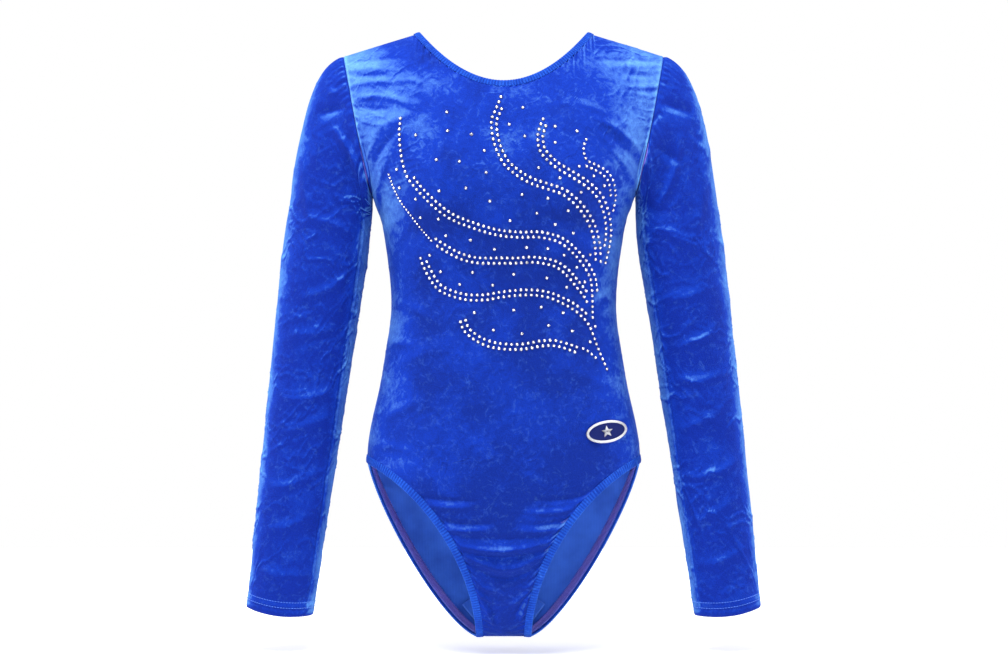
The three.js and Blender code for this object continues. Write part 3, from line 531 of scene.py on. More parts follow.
def knit_material(name, colour, shade):
    """The smooth back of the velvet: fine knitted loops 0.9 mm apart in straight wales, a soft low shine."""
    material, output = new_material(name)
    tree = material.node_tree
    place = node(tree, "ShaderNodeTexCoord").outputs["Object"]
    wales = node(tree, "ShaderNodeTexWave", {"Vector": place, "Scale": 180, "Distortion": 0.6, "Detail": 1.0},
                 bands_direction="X")
    cloud = node(tree, "ShaderNodeTexNoise", {"Vector": place, "Scale": 26, "Detail": 4.0})
    tone = ramp(tree, cloud.outputs["Fac"], (0.35, shade), (0.65, colour))
    ribbed = node(tree, "ShaderNodeMapRange", {"Value": wales.outputs["Fac"], 3: 0.93, 4: 1.05})
    colour_out = node(tree, "ShaderNodeMix", {0: 1.0, 6: tone, 7: ribbed.outputs[0]},
                      data_type="RGBA", blend_type="MULTIPLY")
    bump = node(tree, "ShaderNodeBump", {"Height": wales.outputs["Fac"], "Strength": 0.25,
                                         "Distance": 0.0004})
    shader = node(tree, "ShaderNodeBsdfPrincipled", {
        "Base Color": colour_out.outputs[2], "Roughness": 0.62, "Normal": bump.outputs[0],
        "Specular IOR Level": 0.3, "Sheen Weight": 0.25, "Sheen Roughness": 0.4,
        "Sheen Tint": linear("#8fb6ff")})
    tree.links.new(shader.outputs[0], output.inputs[0])
    return material


# in each velvet the last colour is the tone that the painted highlights reach; the crease lines take it too
body_velvet = velvet_material("crushed_royal_blue_velvet", "#07237c", "#0a2f9c", "#6ca8ea", 0.0)
sleeve_velvet = velvet_material("crushed_royal_blue_velvet_sleeve", "#072384", "#0b319c", "#62a0e4", 3.1)
knit_back = knit_material("knitted_velvet_back", "#356ad2", "#2654b6")
CLOTH = 1.0  # thickness of the velvet with its pile


def thicken(obj, thickness, inner_slot=1):
    """Gives a sheet its thickness inwards, with its second material on the inside."""
    solid = obj.modifiers.new("cloth_thickness", "SOLIDIFY")
    solid.thickness = thickness * MM
    solid.offset = -1
    solid.material_offset = inner_slot
    solid.material_offset_rim = 0


def panel_surface(side, across, leg, side_up, chest, lift=0.0):
    """Points and outward directions of a panel with its relief, lifted off by some millimetres."""
    x, z = panel_plan(side, across, leg, side_up, chest)
    base = form_place(side, x, z)
    normal = form_normal(side, x, z)
    a = np.abs(across)
    flat_edge = ((a > 0.999) & ((side_up > 0) | (leg > 0.999))) | ((leg < 1e-6) & (side_up == 0))
    flat_edge |= (chest > 0.999) & (a >= NECK_SHARE)
    normal = np.where(flat_edge[..., None], normal * [1, 0, 1], normal)
    normal /= np.linalg.norm(normal, axis=-1, keepdims=True)
    relief = panel_relief(side, across, leg, side_up, chest, x, z) + lift
    return base + normal * relief[..., None], normal


def set_pile_and_painted_light(obj, pile_and_painted_light):
    """Stores the velvet's painted light and shade, with some random pile tone, at each vertex."""
    layer = obj.data.attributes.new("pile_and_painted_light", "FLOAT", "POINT")
    layer.data.foreach_set("value", np.clip(pile_and_painted_light, 0, 1).astype(np.float32).ravel())


LIGHT_SIDE = np.array([-0.35, 0, 0.92])  # painted shading: cloth that faces this way, up and a little towards -x where the key lamp is, is painted lighter


CLOSE_GRID, OPEN_GRID = (98, 190, 130, 170), (50, 80, 50,
                                              60)  # half the columns, then rows by leg, side, chest


def panel_object(name, side):
    """A panel's velvet face on a close grid, and its knitted back on an open one, CLOTH inside it."""
    grid = panel_grid(side, *CLOSE_GRID)
    points, form = panel_surface(side, *grid)
    panel = mesh_object(f"{name}_velvet", points.reshape(-1, 3),
                        grid_faces(*points.shape[:2], flip=side == BACK),
                        (body_velvet,))
    x, z = points[..., 0], points[..., 2]
    # painted light and shade: slopes tilted towards LIGHT_SIDE painted lighter and those turned away darker,
    # a painted sheen towards the side edges, a painted highlight on the shoulder tops and along the armhole
    # seam's ridge, lighter over the upper body and in patches on the upper chest, and random pile tone at the
    # end
    tilt = (-side * grid_normals(points, False) - form) @ LIGHT_SIDE
    gain = 0.8 - 0.4 * smooth((-z - 480) / 40) - 0.25 * smooth((z + 250) / 80)
    pile_and_painted_light = 0.17 + gain * tilt + 0.13 * smooth((z + 250) / 120) + 0.24 * smooth((np.abs(x) / half_width(-z)
        - 0.55) / 0.45)
    pile_and_painted_light = pile_and_painted_light + 0.08 * bell(z + 40, 24) * smooth((np.abs(x) - 80) / 50)
    pile_and_painted_light = pile_and_painted_light + 0.1 * bell(z + 96, 34) * bell(np.abs(x) - 118, 40)
    by_arm = (1 - np.abs(grid[0])) * SHOULDER_HALF
    pile_and_painted_light = pile_and_painted_light + 0.2 * bell(by_arm - 1.6, 1.5) * (grid[3] > 0)
    set_pile_and_painted_light(panel, pile_and_painted_light + 0.1 * lattice_noise(x, z, 30, 77))
    coarse = panel_grid(side, *OPEN_GRID)
    inner, _ = panel_surface(side, *coarse, lift=-CLOTH)
    backing = mesh_object(f"{name}_knit_back", inner.reshape(-1, 3),
                          grid_faces(*inner.shape[:2], flip=side == FRONT),
                          (knit_back,))
    for piece in (panel, backing):
        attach(piece, "torso")
    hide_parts(name)
    return panel


front_panel = panel_object("front_panel", FRONT)
panel_object("back_panel", BACK)

# ---- Sleeves ---------------------------------------------------------------------------------------------
# Each sleeve is one piece of the same velvet, sewn into a tube under the arm and set into the armhole. It
# creases
# below the armhole where the arm hangs, and its cuff is turned up 13 mm and held by two rows of stitches.
ARM_LENGTH, UPPER_ARM_WIDTH, CUFF_WIDTH = 456, 99, 75
ARM_ANGLE = math.radians(7.3)
ARM_DOWN = np.array([math.sin(ARM_ANGLE), 0, -math.cos(ARM_ANGLE)])
ARM_OUT = np.array([-ARM_DOWN[2], 0, ARM_DOWN[0]])
ARM_TOP_WIDTH = 0.94 * UPPER_ARM_WIDTH
ARM_TOP = np.array([CHEST_HALF, 0, -ARMPIT_DROP]) + np.array([1, 0, -0.36]) * ARM_TOP_WIDTH / 2
SHOULDER_TIP = np.array([SHOULDER_HALF, 0, -SHOULDER_DROP])
CAP_ROWS, ARM_ROWS, SLEEVE_COLUMNS = 60, 230, 160
TURN_UP = 13.5


def arm_width(share):
    """Width in the front view at a share of the arm's length."""
    swell = np.maximum(0, 1 - share / 0.12)
    width = UPPER_ARM_WIDTH + (CUFF_WIDTH - UPPER_ARM_WIDTH) * share
    return width - (UPPER_ARM_WIDTH - ARM_TOP_WIDTH) * swell**2


def arm_depth(share):
    """Half the sleeve's depth: half its width times 0.93 at the top, easing to 0.74 at the cuff."""
    return 0.5 * arm_width(share) * (0.93 + (0.74 - 0.93) * smooth(share))


def arm_side(share, direction):
    """The sleeve's inner (-1) or outer (1) side: its top, plus the length along the arm and half a width."""
    share = np.asarray(share, float)[..., None]
    return ARM_TOP + ARM_DOWN * share * ARM_LENGTH + ARM_OUT * direction * arm_width(share) / 2


def armhole(step):
    """The armhole's edge over one panel, from the armpit at 0 to the shoulder's tip at 1: share of the way up
    and depth, for the front and the back."""
    x = CHEST_HALF + (SHOULDER_HALF - CHEST_HALF) * step
    z = -ARMPIT_DROP + (ARMPIT_DROP - SHOULDER_DROP) * step
    return step, [form_depth(side, x, z) for side in (FRONT, BACK)]


def sleeve_form():
    """The left sleeve's tube as rows of points from the armhole to the cuff. A row goes round from the inside
    over the front; it blends from the armhole's outline to an oval, (1 - cos a) / 2 across and sin a deep."""
    turn = 2 * np.pi * np.arange(SLEEVE_COLUMNS) / SLEEVE_COLUMNS
    front = turn <= np.pi
    step = np.where(front, turn, 2 * np.pi - turn) / np.pi
    chest = 0.4 * step + 0.6 * np.sin(step * np.pi / 2)
    share_hole, (deep_front, deep_back) = armhole(chest)
    v = np.linspace(0, 1, CAP_ROWS, endpoint=False)
    angle = math.atan(SLOPE)
    cap = [SHOULDER_TIP, SHOULDER_TIP + 38 * np.array([math.cos(angle), 0, -math.sin(angle)]),
           arm_side(0, 1) - 95 * ARM_DOWN, arm_side(0, 1)]
    armpit = np.array([CHEST_HALF, 0, -ARMPIT_DROP])
    inner_cap = armpit + (arm_side(0, -1) - armpit) * v[:, None]
    arm = np.linspace(0, 1, ARM_ROWS + 1)
    inner = np.concatenate([inner_cap, arm_side(arm, -1)])
    outer = np.concatenate([bezier(cap, v), arm_side(arm, 1)])
    depth = np.concatenate([np.full(CAP_ROWS, arm_depth(np.array(0.0))), arm_depth(arm)])[:, None]
    form = np.concatenate([smooth(v), np.ones(ARM_ROWS + 1)])[:, None]
    share = share_hole * (1 - form) + (1 - np.cos(step * np.pi)) / 2 * form
    hole = np.where(front, deep_front, deep_back)
    out = hole * (1 - form) + depth * np.abs(np.sin(turn)) * form
    points = inner[:, None] + (outer - inner)[:, None] * share[..., None]
    points[..., 1] = np.where(front, FRONT, BACK) * out
    # the cuff's front hangs a little lower than its sides
    length = np.concatenate([v - 1, arm])[:, None] * ARM_LENGTH
    sag = smooth((length - 380) / 76) * 3.5 * np.sin(share * np.pi)
    return points + ARM_DOWN * sag[..., None], length, share, np.where(front, FRONT, BACK)


SLEEVE_FOLDS = {  # start, end, width, height, bow, in the front view, in millimetres
    1: [
        ((160, -96), (166, -196), 5, 3.0, -3), ((196, -116), (172, -200), 6, 2.8, 6),
        ((152, -110), (176, -92), 5, -2.4, 0), ((176, -80), (212, -92), 7, -2.2, 0),
        ((170, -130), (200, -150), 7, -1.6, 0), ((222, -120), (214, -230), 7, 1.8, 5),
        ((168, -220), (214, -250), 8, 1.4, 4), ((176, -300), (230, -286), 8, 1.3, -4),
        ((240, -330), (190, -356), 8, 1.4, 3), ((190, -390), (252, -380), 8, 1.5, -5),
        ((248, -420), (196, -446), 8, 1.3, 3), ((204, -500), (262, -480), 7, 1.4, -5),
        ((262, -520), (208, -552), 8, 1.2, 3), ((216, -598), (272, -580), 8, 1.2, -4),
        ((204, -70), (232, -190), 7, 1.5, 8),
    ],
    -1: [
        ((190, -108), (156, -176), 6, 3.2, -4), ((168, -112), (172, -186), 6, -2.6, 3),
        ((176, -84), (208, -94), 7, -2.6, 0), ((196, -66), (186, -72), 6, 1.6, 0),
        ((154, -148), (158, -196), 5, 2.4, 0), ((222, -110), (214, -220), 7, 1.8, 5),
        ((166, -230), (220, -210), 8, 1.5, 4), ((176, -276), (232, -300), 8, 1.4, -4),
        ((240, -340), (186, -330), 8, 1.3, 3), ((190, -400), (250, -410), 8, 1.4, -5),
        ((256, -450), (196, -430), 8, 1.2, 3), ((206, -490), (262, -510), 7, 1.4, -5),
        ((266, -560), (214, -540), 8, 1.3, 3), ((214, -610), (276, -600), 8, 1.1, -4),
        ((206, -72), (234, -180), 7, 1.5, 8),
    ],
}


def sleeve_surface(lateral):
    """A sleeve's cloth: its tube with crush, folds, puckers at the armhole, the underarm seam's groove and
    the step of the turned-up cuff, all added as heights along the outward direction."""
    points, length, share, side = sleeve_form()
    normal = -grid_normals(points, True)
    x, z = points[..., 0], points[..., 2]
    turn = np.arange(SLEEVE_COLUMNS) / SLEEVE_COLUMNS
    girth = np.broadcast_to(turn * 250, x.shape)
    seed = 300 if lateral > 0 else 420
    relief = 1.5 * crush(girth * 1.1, z, seed)
    facing = smooth(0.5 - 0.9 * normal[..., 1])
    for start, end, width, height, bow in SLEEVE_FOLDS[lateral]:
        relief = relief + facing * fold(x, z, start, end, 0.72 * width, 0.95 * height, bow)
        relief = relief + (1 - facing) * 0.6 * fold(x + 4, z + 26, start, end, 0.8 * width, height, -bow)
    from_hole = np.linalg.norm(np.diff(points, axis=0), axis=-1).cumsum(0)
    from_hole = np.concatenate([np.zeros((1, SLEEVE_COLUMNS)), from_hole])
    relief = relief + gathers(girth * 1.3, from_hole, 9, 1.1, 9, seed + 51) * (from_hole < 60)
    from_seam = np.abs(turn - 0.094)[None] * 250
    relief = relief - 0.9 * bell(from_seam, 1.3) + 0.35 * bell(from_seam - 3.2, 1.6)
    up = ARM_LENGTH - length
    turned = smooth((TURN_UP + 1 - up) / 1.2)
    relief = relief * (1 - 0.55 * turned) + 0.5 * turned
    relief = relief - 0.45 * bell(up - TURN_UP + 1, 0.8) - 0.35 * bell(up - 7.5, 0.8) - 0.8 * bell(up, 1.1)
    relief = relief * smooth(from_hole / 4) - 0.5 * bell(from_hole, 2)
    points = points + normal * relief[..., None]
    points[..., 0] *= lateral
    normal = normal * [lateral, 1, 1]
    return points, normal, up


# two points some 20 mm apart across the armhole, from its seam out into the sleeve's cloth, kept with each
# sleeve
SWING_START, SWING_END = (0.1529, 0, -0.1828), (0.1725, 0, -0.1868)
sleeves = {}
for lateral, side_name in ((1, "left"), (-1, "right")):
    points, normal, up = sleeve_surface(lateral)
    faces = grid_faces(*points.shape[:2], round_rows=True, flip=lateral > 0)
    sleeve = mesh_object(f"{side_name}_sleeve_velvet", points.reshape(-1, 3), faces,
                         (sleeve_velvet, knit_back))
    # painted light and shade: slopes tilted up to the light painted lighter and those turned away darker, a
    # painted sheen along the sleeve's side edges and a little painted light on its upper faces
    tilt = grid_normals(points, True)[..., 2] * -1
    broad = normal[..., 2]
    edge_light = smooth((np.abs(normal[..., 0]) - 0.55) / 0.45)
    tilt = np.where(lateral > 0, tilt, -tilt) - broad
    set_pile_and_painted_light(sleeve, 0.16 + 1.2 * np.clip(tilt, -0.6, 0.6) + 0.42 * edge_light + 0.12 * smooth(broad / 0.8))
    thicken(sleeve, CLOTH)
    start, end = [(lateral * p[0], *p[1:]) for p in (SWING_START, SWING_END)]
    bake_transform(sleeve)
    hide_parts(f"{side_name}_sleeve")
    sleeves[lateral] = (points, normal, up, start, end)

# ---- Elastic edges ---------------------------------------------------------------------------------------
# The neck and the leg openings are bound with a folded strip of the velvet over a flat elastic. The strip
# is
# stretched as it is sewn on, so it draws in and puckers every 3 to 4 mm, and an overlock seam runs behind
# it.


def even_curve(points, step, closed):
    """The same curve with evenly spaced points about a step apart, and the spacing it came to."""
    ring = np.vstack([points, points[:1]]) if closed else points
    length = np.concatenate([[0], np.linalg.norm(np.diff(ring, axis=0), axis=1).cumsum()])
    count = max(3, int(round(length[-1] / step)))
    at = np.linspace(0, length[-1], count, endpoint=not closed)
    return np.stack([np.interp(at, length, ring[:, k]) for k in range(3)], 1), at


def softened(values, reach, closed):
    """A running mean over 2 * reach + 1 neighbours, made unit length."""
    pad = np.concatenate([values[-reach:], values, values[:reach]]) if closed else np.pad(
        values, ((reach, reach), (0, 0)), mode="edge")
    kernel = np.ones(2 * reach + 1) / (2 * reach + 1)
    mean = np.stack([np.convolve(pad[:, k], kernel, "valid") for k in range(3)], 1)
    return mean / np.linalg.norm(mean, axis=1, keepdims=True)


def edge_frame(points, normals, closed, outward):
    """Evenly spaced points of an edge with the cloth's outward direction and the direction off the cloth."""
    even, at = even_curve(points, 0.6, closed)
    ring_at = np.concatenate([[0], np.linalg.norm(np.diff(points, axis=0), axis=1).cumsum()])
    normal = np.stack([np.interp(at, ring_at, normals[:, k]) for k in range(3)], 1)
    normal = softened(normal, 9, closed)
    tangent = np.roll(even, -1, 0) - np.roll(even, 1, 0)
    if not closed:
        tangent[0], tangent[-1] = even[1] - even[0], even[-1] - even[-2]
    tangent = softened(tangent, 3, closed)
    aside = np.cross(tangent, normal) * outward
    aside /= np.linalg.norm(aside, axis=1, keepdims=True)
    return even, np.cross(aside, tangent) * outward, aside, at


def neck_edge():
    """The neckline as the panels' top edge: over the front from the wearer's right to left, then behind."""
    a = np.linspace(-NECK_SHARE, NECK_SHARE, 401)
    parts = []
    for side, across in ((FRONT, a), (BACK, a[::-1][1:-1])):
        x, z = top_line(side, np.abs(across))
        x = np.sign(across) * x
        parts.append((form_place(side, x, z), form_normal(side, x, z)))
    return [np.concatenate(p) for p in zip(*parts)]


def leg_edge(lateral):
    """A leg opening's edge: up the front and down behind."""
    t = np.linspace(0, 1, 301)
    parts = []
    for side, share in ((FRONT, t), (BACK, t[::-1][1:-1])):
        line = bezier(LEG_LINE[side], share)
        x, z = lateral * line[:, 0], line[:, 1]
        parts.append((form_place(side, x, z), form_normal(side, x, z)))
    return [np.concatenate(p) for p in zip(*parts)]


def swept(name, frame_parts, section, closed, materials):
    """A closed tube: section(at) gives its outline as (a, b) arrays of shape (points, corners), carried along
    point + a * aside + b * normal."""
    even, normal, aside, at = frame_parts
    a, b = section(at)
    points = even[:, None] + aside[:, None] * a[..., None] + normal[:, None] * b[..., None]
    rows, corners = a.shape
    faces = grid_faces(rows, corners, round_rows=True)
    if closed:
        k = np.arange(corners)
        last = (rows - 1) * corners
        faces = np.vstack([faces, np.stack([last + k, last + (k + 1) % corners, (k + 1) % corners, k], 1)])
    solid = mesh_object(name, points.reshape(-1, 3), faces, materials)
    return solid


def band_section(width, seed, pucker=1.0):
    """The folded strip in section: a flat pillow, thickest near its fold and nipped in by the stitches."""
    turn = np.linspace(0, 2 * np.pi, 23)[:-1]
    across = 0.5 * width * (1 - np.sign(np.cos(turn)) * np.abs(np.cos(turn)) ** 0.75) - 0.8
    high = np.sign(np.sin(turn)) * np.abs(np.sin(turn)) ** 0.6

    def section(at):
        s = at[:, None] + 1.1 * lattice_noise(at, at * 0, 13, seed)[:, None]
        puckers = np.cos(2 * np.pi * s / RIPPLE + 0.35 * across) * (0.6 + 0.6
            * lattice_noise(at, at * 0, 19, seed + 1)[:, None])
        near_seam = np.exp(-np.maximum(across, 0) / (0.6 * width))
        thick = 1.15 + 0.28 * smooth(across / width) + pucker * 0.34 * puckers * near_seam
        thick = thick - 0.35 * bell(across - 1.0, 0.9)
        reach = across + 0.12 * pucker * puckers * smooth(across / width)
        return reach, np.broadcast_to(high, thick.shape) * thick

    return section


band_velvet = velvet_material("velvet_edge_band", "#0d3190", "#1a4cb6", "#66a6ea", 5.3)


def thread_material(name, hex_colour, dark, roughness=0.55):
    """Twisted polyester thread: 0.5 mm twists, a soft shine and a slight change of tone along it."""
    material, output = new_material(name)
    tree = material.node_tree
    place = node(tree, "ShaderNodeTexCoord").outputs["Object"]
    twist = node(tree, "ShaderNodeTexNoise", {"Vector": place, "Scale": 1400, "Detail": 2.0})
    tone = ramp(tree, twist.outputs["Fac"], (0.3, dark), (0.7, hex_colour))
    bump = node(tree, "ShaderNodeBump", {"Height": twist.outputs["Fac"], "Strength": 0.3, "Distance": 0.0002})
    shader = node(tree, "ShaderNodeBsdfPrincipled", {
        "Base Color": tone, "Roughness": roughness, "Normal": bump.outputs[0], "Sheen Weight": 0.2,
        "Specular IOR Level": 0.4})
    tree.links.new(shader.outputs[0], output.inputs[0])
    return material


purple_thread = thread_material("overlock_thread", "#7d70da", "#5a4fba")
covered_edge = thread_material("overlock_covered_edge", "#3f55c4", "#2c3f9e")
blue_thread = thread_material("hem_thread", "#4b86e8", "#2a5fc8")


def thread_tube(name, path, radius, material, sides=5):
    """A round thread along a path: circles square to it, turned about the direction across the path."""
    tangent = np.gradient(path, axis=0)
    tangent /= np.maximum(np.linalg.norm(tangent, axis=1, keepdims=True), 1e-9)
    across = np.cross(tangent, np.array([0.31, 0.2, 0.93]))
    across /= np.maximum(np.linalg.norm(across, axis=1, keepdims=True), 1e-9)
    up = np.cross(across, tangent)
    turn = 2 * np.pi * np.arange(sides) / sides
    points = path[:, None] + radius * (across[:, None] * np.cos(turn)[:, None] + up[:, None]
                                       * np.sin(turn)[:, None])
    faces = grid_faces(len(path), sides, round_rows=True)
    return mesh_object(name, points.reshape(-1, 3), faces, (material,))


def overlock_path(frame_parts, width, depth, pitch):
    """The looper threads of an overlock seam: a zigzag from the cut edge over the seam, one stitch a pitch,
    bulging at the edge. Returns the path and its points' places along the seam."""
    even, normal, aside, at = frame_parts
    fine = np.arange(0, at[-1], pitch / 12)
    pick = lambda v: np.stack([np.interp(fine, at, v[:, k]) for k in range(3)], 1)
    phase = fine / pitch % 1
    wave = np.where(phase < 0.5, smooth(phase * 2), smooth(2 - phase * 2))
    lift = 0.45 * np.sin(np.pi * wave) + 0.25 * (phase < 0.5)
    return pick(even) - pick(aside) * (0.4 + wave * (width - 0.4))[:,
        None] - pick(normal) * (depth + lift)[:, None]


def flat_section(width, low, high):
    """A thin flat ribbon under the cloth, in from its edge."""
    a = np.array([0, -width, -width, 0], float)
    b = np.array([high, high, low, low], float)
    return lambda at: (np.broadcast_to(a, (len(at), 4)), np.broadcast_to(b, (len(at), 4)))


RIPPLE = 3.4  # from pucker to pucker


def edge_group(prefix, edge, width, outward, shift, cover_width):
    """One elastic edge: the folded band, with a painted highlight along its fold and painted light and shade
    on its puckers, and the overlock's cover and loops behind it, shifted some millimetres off the raw edge.
    All of it rides the torso."""
    frame_parts = edge_frame(*edge, True, outward)
    shifted = (frame_parts[0] + frame_parts[2] * shift, *frame_parts[1:])
    seed = 500 + len(prefix)
    band = swept(f"{prefix}_band_velvet", frame_parts, band_section(width, seed), True, (band_velvet,))
    corner = np.linspace(0, 2 * np.pi, 23)[:-1]
    at = frame_parts[3] + 1.1 * lattice_noise(frame_parts[3], 0 * frame_parts[3], 13, seed)
    # painted shade and light on the puckers, and a painted highlight along the band's fold
    painted_pucker_shade = 0.13 * np.cos(2 * np.pi * at / RIPPLE)[:, None] * (0.5 - 0.5 * np.cos(corner + 2.2))
    set_pile_and_painted_light(band, 0.2 + painted_pucker_shade + 0.34 * bell(corner - np.pi, 0.5))
    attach(band, "torso")
    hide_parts(f"{prefix}_band", f"{prefix}_elastic")
    ribbon = swept(f"{prefix}_overlock_cover", shifted, flat_section(cover_width, -2.1, -1.6), True,
                   (covered_edge,))
    loops = thread_tube(f"{prefix}_overlock_loops", overlock_path(shifted, cover_width, 2.2, 1.7), 0.3,
                        purple_thread, 4)
    for piece in (ribbon, loops):
        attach(piece, "torso")
    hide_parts(f"{prefix}_overlock")
    return frame_parts


edge_group("neck", neck_edge(), 7.4, -1, 0, 6)
leg_frames = {lateral: edge_group(f"{name}_leg", leg_edge(lateral), 8.6, lateral, 4.6, 8)
              for lateral, name in ((1, "left"), (-1, "right"))}


def copies(name, template, faces, places, materials, face_slots=None):
    """One mesh of many small copies: each template point (a, b, c) goes to origin + a*u + b*v + c*w of every
    place, given as (origin, u, v, w) arrays."""
    origin, u, v, w = places
    template = np.asarray(template, float)
    points = origin[:, None] + template[:, 0, None] * u[:, None] + template[:, 1, None] * v[:, None]
    points = points + template[:, 2, None] * w[:, None]
    count, size = len(origin), len(template)
    sides = np.tile([len(face) for face in faces], count)
    corners = np.concatenate(faces)[None] + (np.arange(count) * size)[:, None]
    mesh = bpy.data.meshes.new(name)
    mesh.vertices.add(count * size)
    mesh.vertices.foreach_set("co", (points * MM).ravel())
    mesh.loops.add(corners.size)
    mesh.loops.foreach_set("vertex_index", corners.ravel().astype(np.int32))
    mesh.polygons.add(len(sides))
    mesh.polygons.foreach_set("loop_start", (np.cumsum(sides) - sides).astype(np.int32))
    for material in materials:
        mesh.materials.append(material)
    if face_slots is not None:
        mesh.polygons.foreach_set("material_index", np.tile(face_slots, count).astype(np.int32))
    mesh.update()
    obj = bpy.data.objects.new(name, mesh)
    scene.collection.objects.link(obj)
    return obj


def pill(length, width, height, rings=5, sides=6):
    """A stitch: a half-round bar, rounded down at both ends."""
    along = np.linspace(-1, 1, rings)
    size = np.sqrt(np.clip(1 - (along * 0.97) ** 4, 0, 1))
    turn = np.linspace(0, 2 * np.pi, sides, endpoint=False)
    points = [(0.5 * length * a, 0.5 * width * s * math.cos(q), 0.5 * height * s * math.sin(q))
              for a, s in zip(along, size) for q in turn]
    faces = [tuple(f) for f in grid_faces(rings, sides, round_rows=True).tolist()]
    faces += [tuple(range(sides)), tuple(range((rings - 1) * sides, rings * sides))[::-1]]
    return points, [f[::-1] for f in faces]


def stitch_places(path, normals, pitch):
    """Evenly spaced places along a line, with the directions along it, across it and off the cloth."""
    length = np.concatenate([[0], np.linalg.norm(np.diff(path, axis=0), axis=1).cumsum()])
    at = np.arange(pitch / 2, length[-1], pitch)
    pick = lambda v: np.stack([np.interp(at, length, v[:, k]) for k in range(3)], 1)
    origin, w = pick(path), pick(normals)
    u = pick(np.gradient(path, axis=0))
    u /= np.linalg.norm(u, axis=1, keepdims=True)
    w = w - u * (w * u).sum(1, keepdims=True)
    w /= np.linalg.norm(w, axis=1, keepdims=True)
    return origin, u, np.cross(w, u), w


# ---- Cuff hems and leg seams' needle lines ---------------------------------------------------------------
# The cuffs are hemmed with a coverstitch: two rows of 3 mm stitches 7 mm apart. The leg overlocks' needle
# thread
# shows as a dashed line along the inner side of the seam.
HEM_ROWS, HEM_PITCH, NEEDLE_PITCH = (16.5, 9.5), 3.2, 3.4  # heights above the cuff's edge, then pitches
for lateral, side_name in ((1, "left"), (-1, "right")):
    points, normal, up, start, end = sleeves[lateral]
    stitches = []
    for height in HEM_ROWS:
        row = int(np.argmin(np.abs(up[:, 0] - height)))
        line = np.vstack([points[row], points[row, :1]]) + 0.1 * np.vstack([normal[row], normal[row, :1]])
        stitches.append(stitch_places(line, np.vstack([normal[row], normal[row, :1]]), HEM_PITCH))
    places = [np.concatenate(v) for v in zip(*stitches)]
    hem = copies(f"{side_name}_cuff_stitches", *pill(2.7, 0.55, 0.6), places, (blue_thread,))
    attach(hem, f"{side_name}_arm")
    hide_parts(f"{side_name}_cuff_stitch")
    even, out, aside, at = leg_frames[lateral]
    needle = even - aside * 4.2 - out * 1.7
    dashes = copies(f"{side_name}_leg_needle_line", *pill(2.4, 0.5, 0.5),
                    stitch_places(needle, -out, NEEDLE_PITCH),
                    (purple_thread,))
    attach(dashes, "torso")

# ---- Inside seams ----------------------------------------------------------------------------------------
# Every seam is overlocked inside: a narrow covered edge of looped thread,
# along the sides, shoulders, crotch, armholes and under the arms.


def panel_line(side, across, leg, side_up, chest):
    """Points and outward directions of the form along a line of a panel."""
    shape = np.broadcast(across, leg, side_up, chest).shape
    parts = [np.broadcast_to(np.asarray(v, float), shape) for v in (across, leg, side_up, chest)]
    x, z = panel_plan(side, *parts)
    return form_place(side, x, z), form_normal(side, x, z)


SEAM_WIDTH = 5


def inner_seam(name, points, normals, closed=False):
    """A cover and its loops, SEAM_WIDTH wide, under the cloth along a seam."""
    even, normal, aside, at = edge_frame(points, normals, closed, 1)
    centred = (even + aside * SEAM_WIDTH / 2, normal, aside, at)
    cover = swept(name + "_cover", centred, flat_section(SEAM_WIDTH, -2.0, -1.6), closed, (purple_thread,))
    loops = thread_tube(name + "_loops", overlock_path(centred, SEAM_WIDTH, 2.1, 2.0), 0.25, purple_thread, 4)
    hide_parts(name)
    return cover, loops


def ends_joined(name, front, back):
    """An inner seam midway between two panels' edges, on the torso. Returns its line and directions."""
    path, out = (front[0] + back[0]) / 2, softened((front[1] + back[1]) / 2, 4, False)
    for piece in inner_seam(name, path, out):
        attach(piece, "torso")
    return path, out


shoulder_lines = {}
share = np.linspace(0.02, 0.98, 90)
ones, zeros = np.ones_like(share), np.zeros_like(share)
for lateral, side_name in ((1, "left"), (-1, "right")):
    ends_joined(f"{side_name}_side_seam", *[panel_line(s, lateral * ones, ones, share, zeros)
                                            for s in (FRONT, BACK)])
    line = [panel_line(s, lateral * (NECK_SHARE + 0.03 + share * 0.34), ones, ones, ones)
            for s in (FRONT, BACK)]
    shoulder_lines[side_name] = ends_joined(f"{side_name}_shoulder_seam", *line)
across = np.linspace(-0.9, 0.9, 60)
line = [panel_line(s, across, 0 * across, 0 * across, 0 * across) for s in (FRONT, BACK)]
ends_joined("crotch_seam", *line)
for lateral, side_name in ((1, "left"), (-1, "right")):
    points, normal, up, start, end = sleeves[lateral]
    rows = {"armhole_seam": (points[4], normal[4], True),
            "underarm_seam": (points[8:-26, 15], normal[8:-26, 15], False)}
    for seam, (path, out, closed) in rows.items():
        for piece in inner_seam(f"{side_name}_{seam}", path, out, closed):
            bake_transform(piece)

# ---- Gusset lining, label and shoulder tapes -------------------------------------------------------------
# A smooth knit lining doubles the crotch, a blank satin label is sewn inside the back neck, and a clear
# elastic
# tape lies over each shoulder seam.
lining_knit = knit_material("gusset_lining_knit", "#3367ce", "#2856ba")
lining_points = []
for side, rows in ((BACK, np.linspace(0.22, 0, 30)), (FRONT, np.linspace(0, 0.34, 30)[1:])):
    a, leg = np.meshgrid(np.linspace(-0.86, 0.86, 60), rows)
    place, out = panel_line(side, a, leg, 0 * a, 0 * a)
    x, z = panel_plan(side, a, leg, 0 * a, 0 * a)
    relief = panel_relief(side, a, leg, 0 * a, 0 * a, x, z)
    lining_points.append(place + out * (relief - 2.9)[..., None] + [0, 0, 0.6])
lining_grid = np.concatenate(lining_points)
lining = mesh_object("gusset_lining_knit", lining_grid.reshape(-1, 3), grid_faces(*lining_grid.shape[:2]),
                     (lining_knit, lining_knit))
thicken(lining, 0.5)
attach(lining, "torso")
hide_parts("gusset_lining")

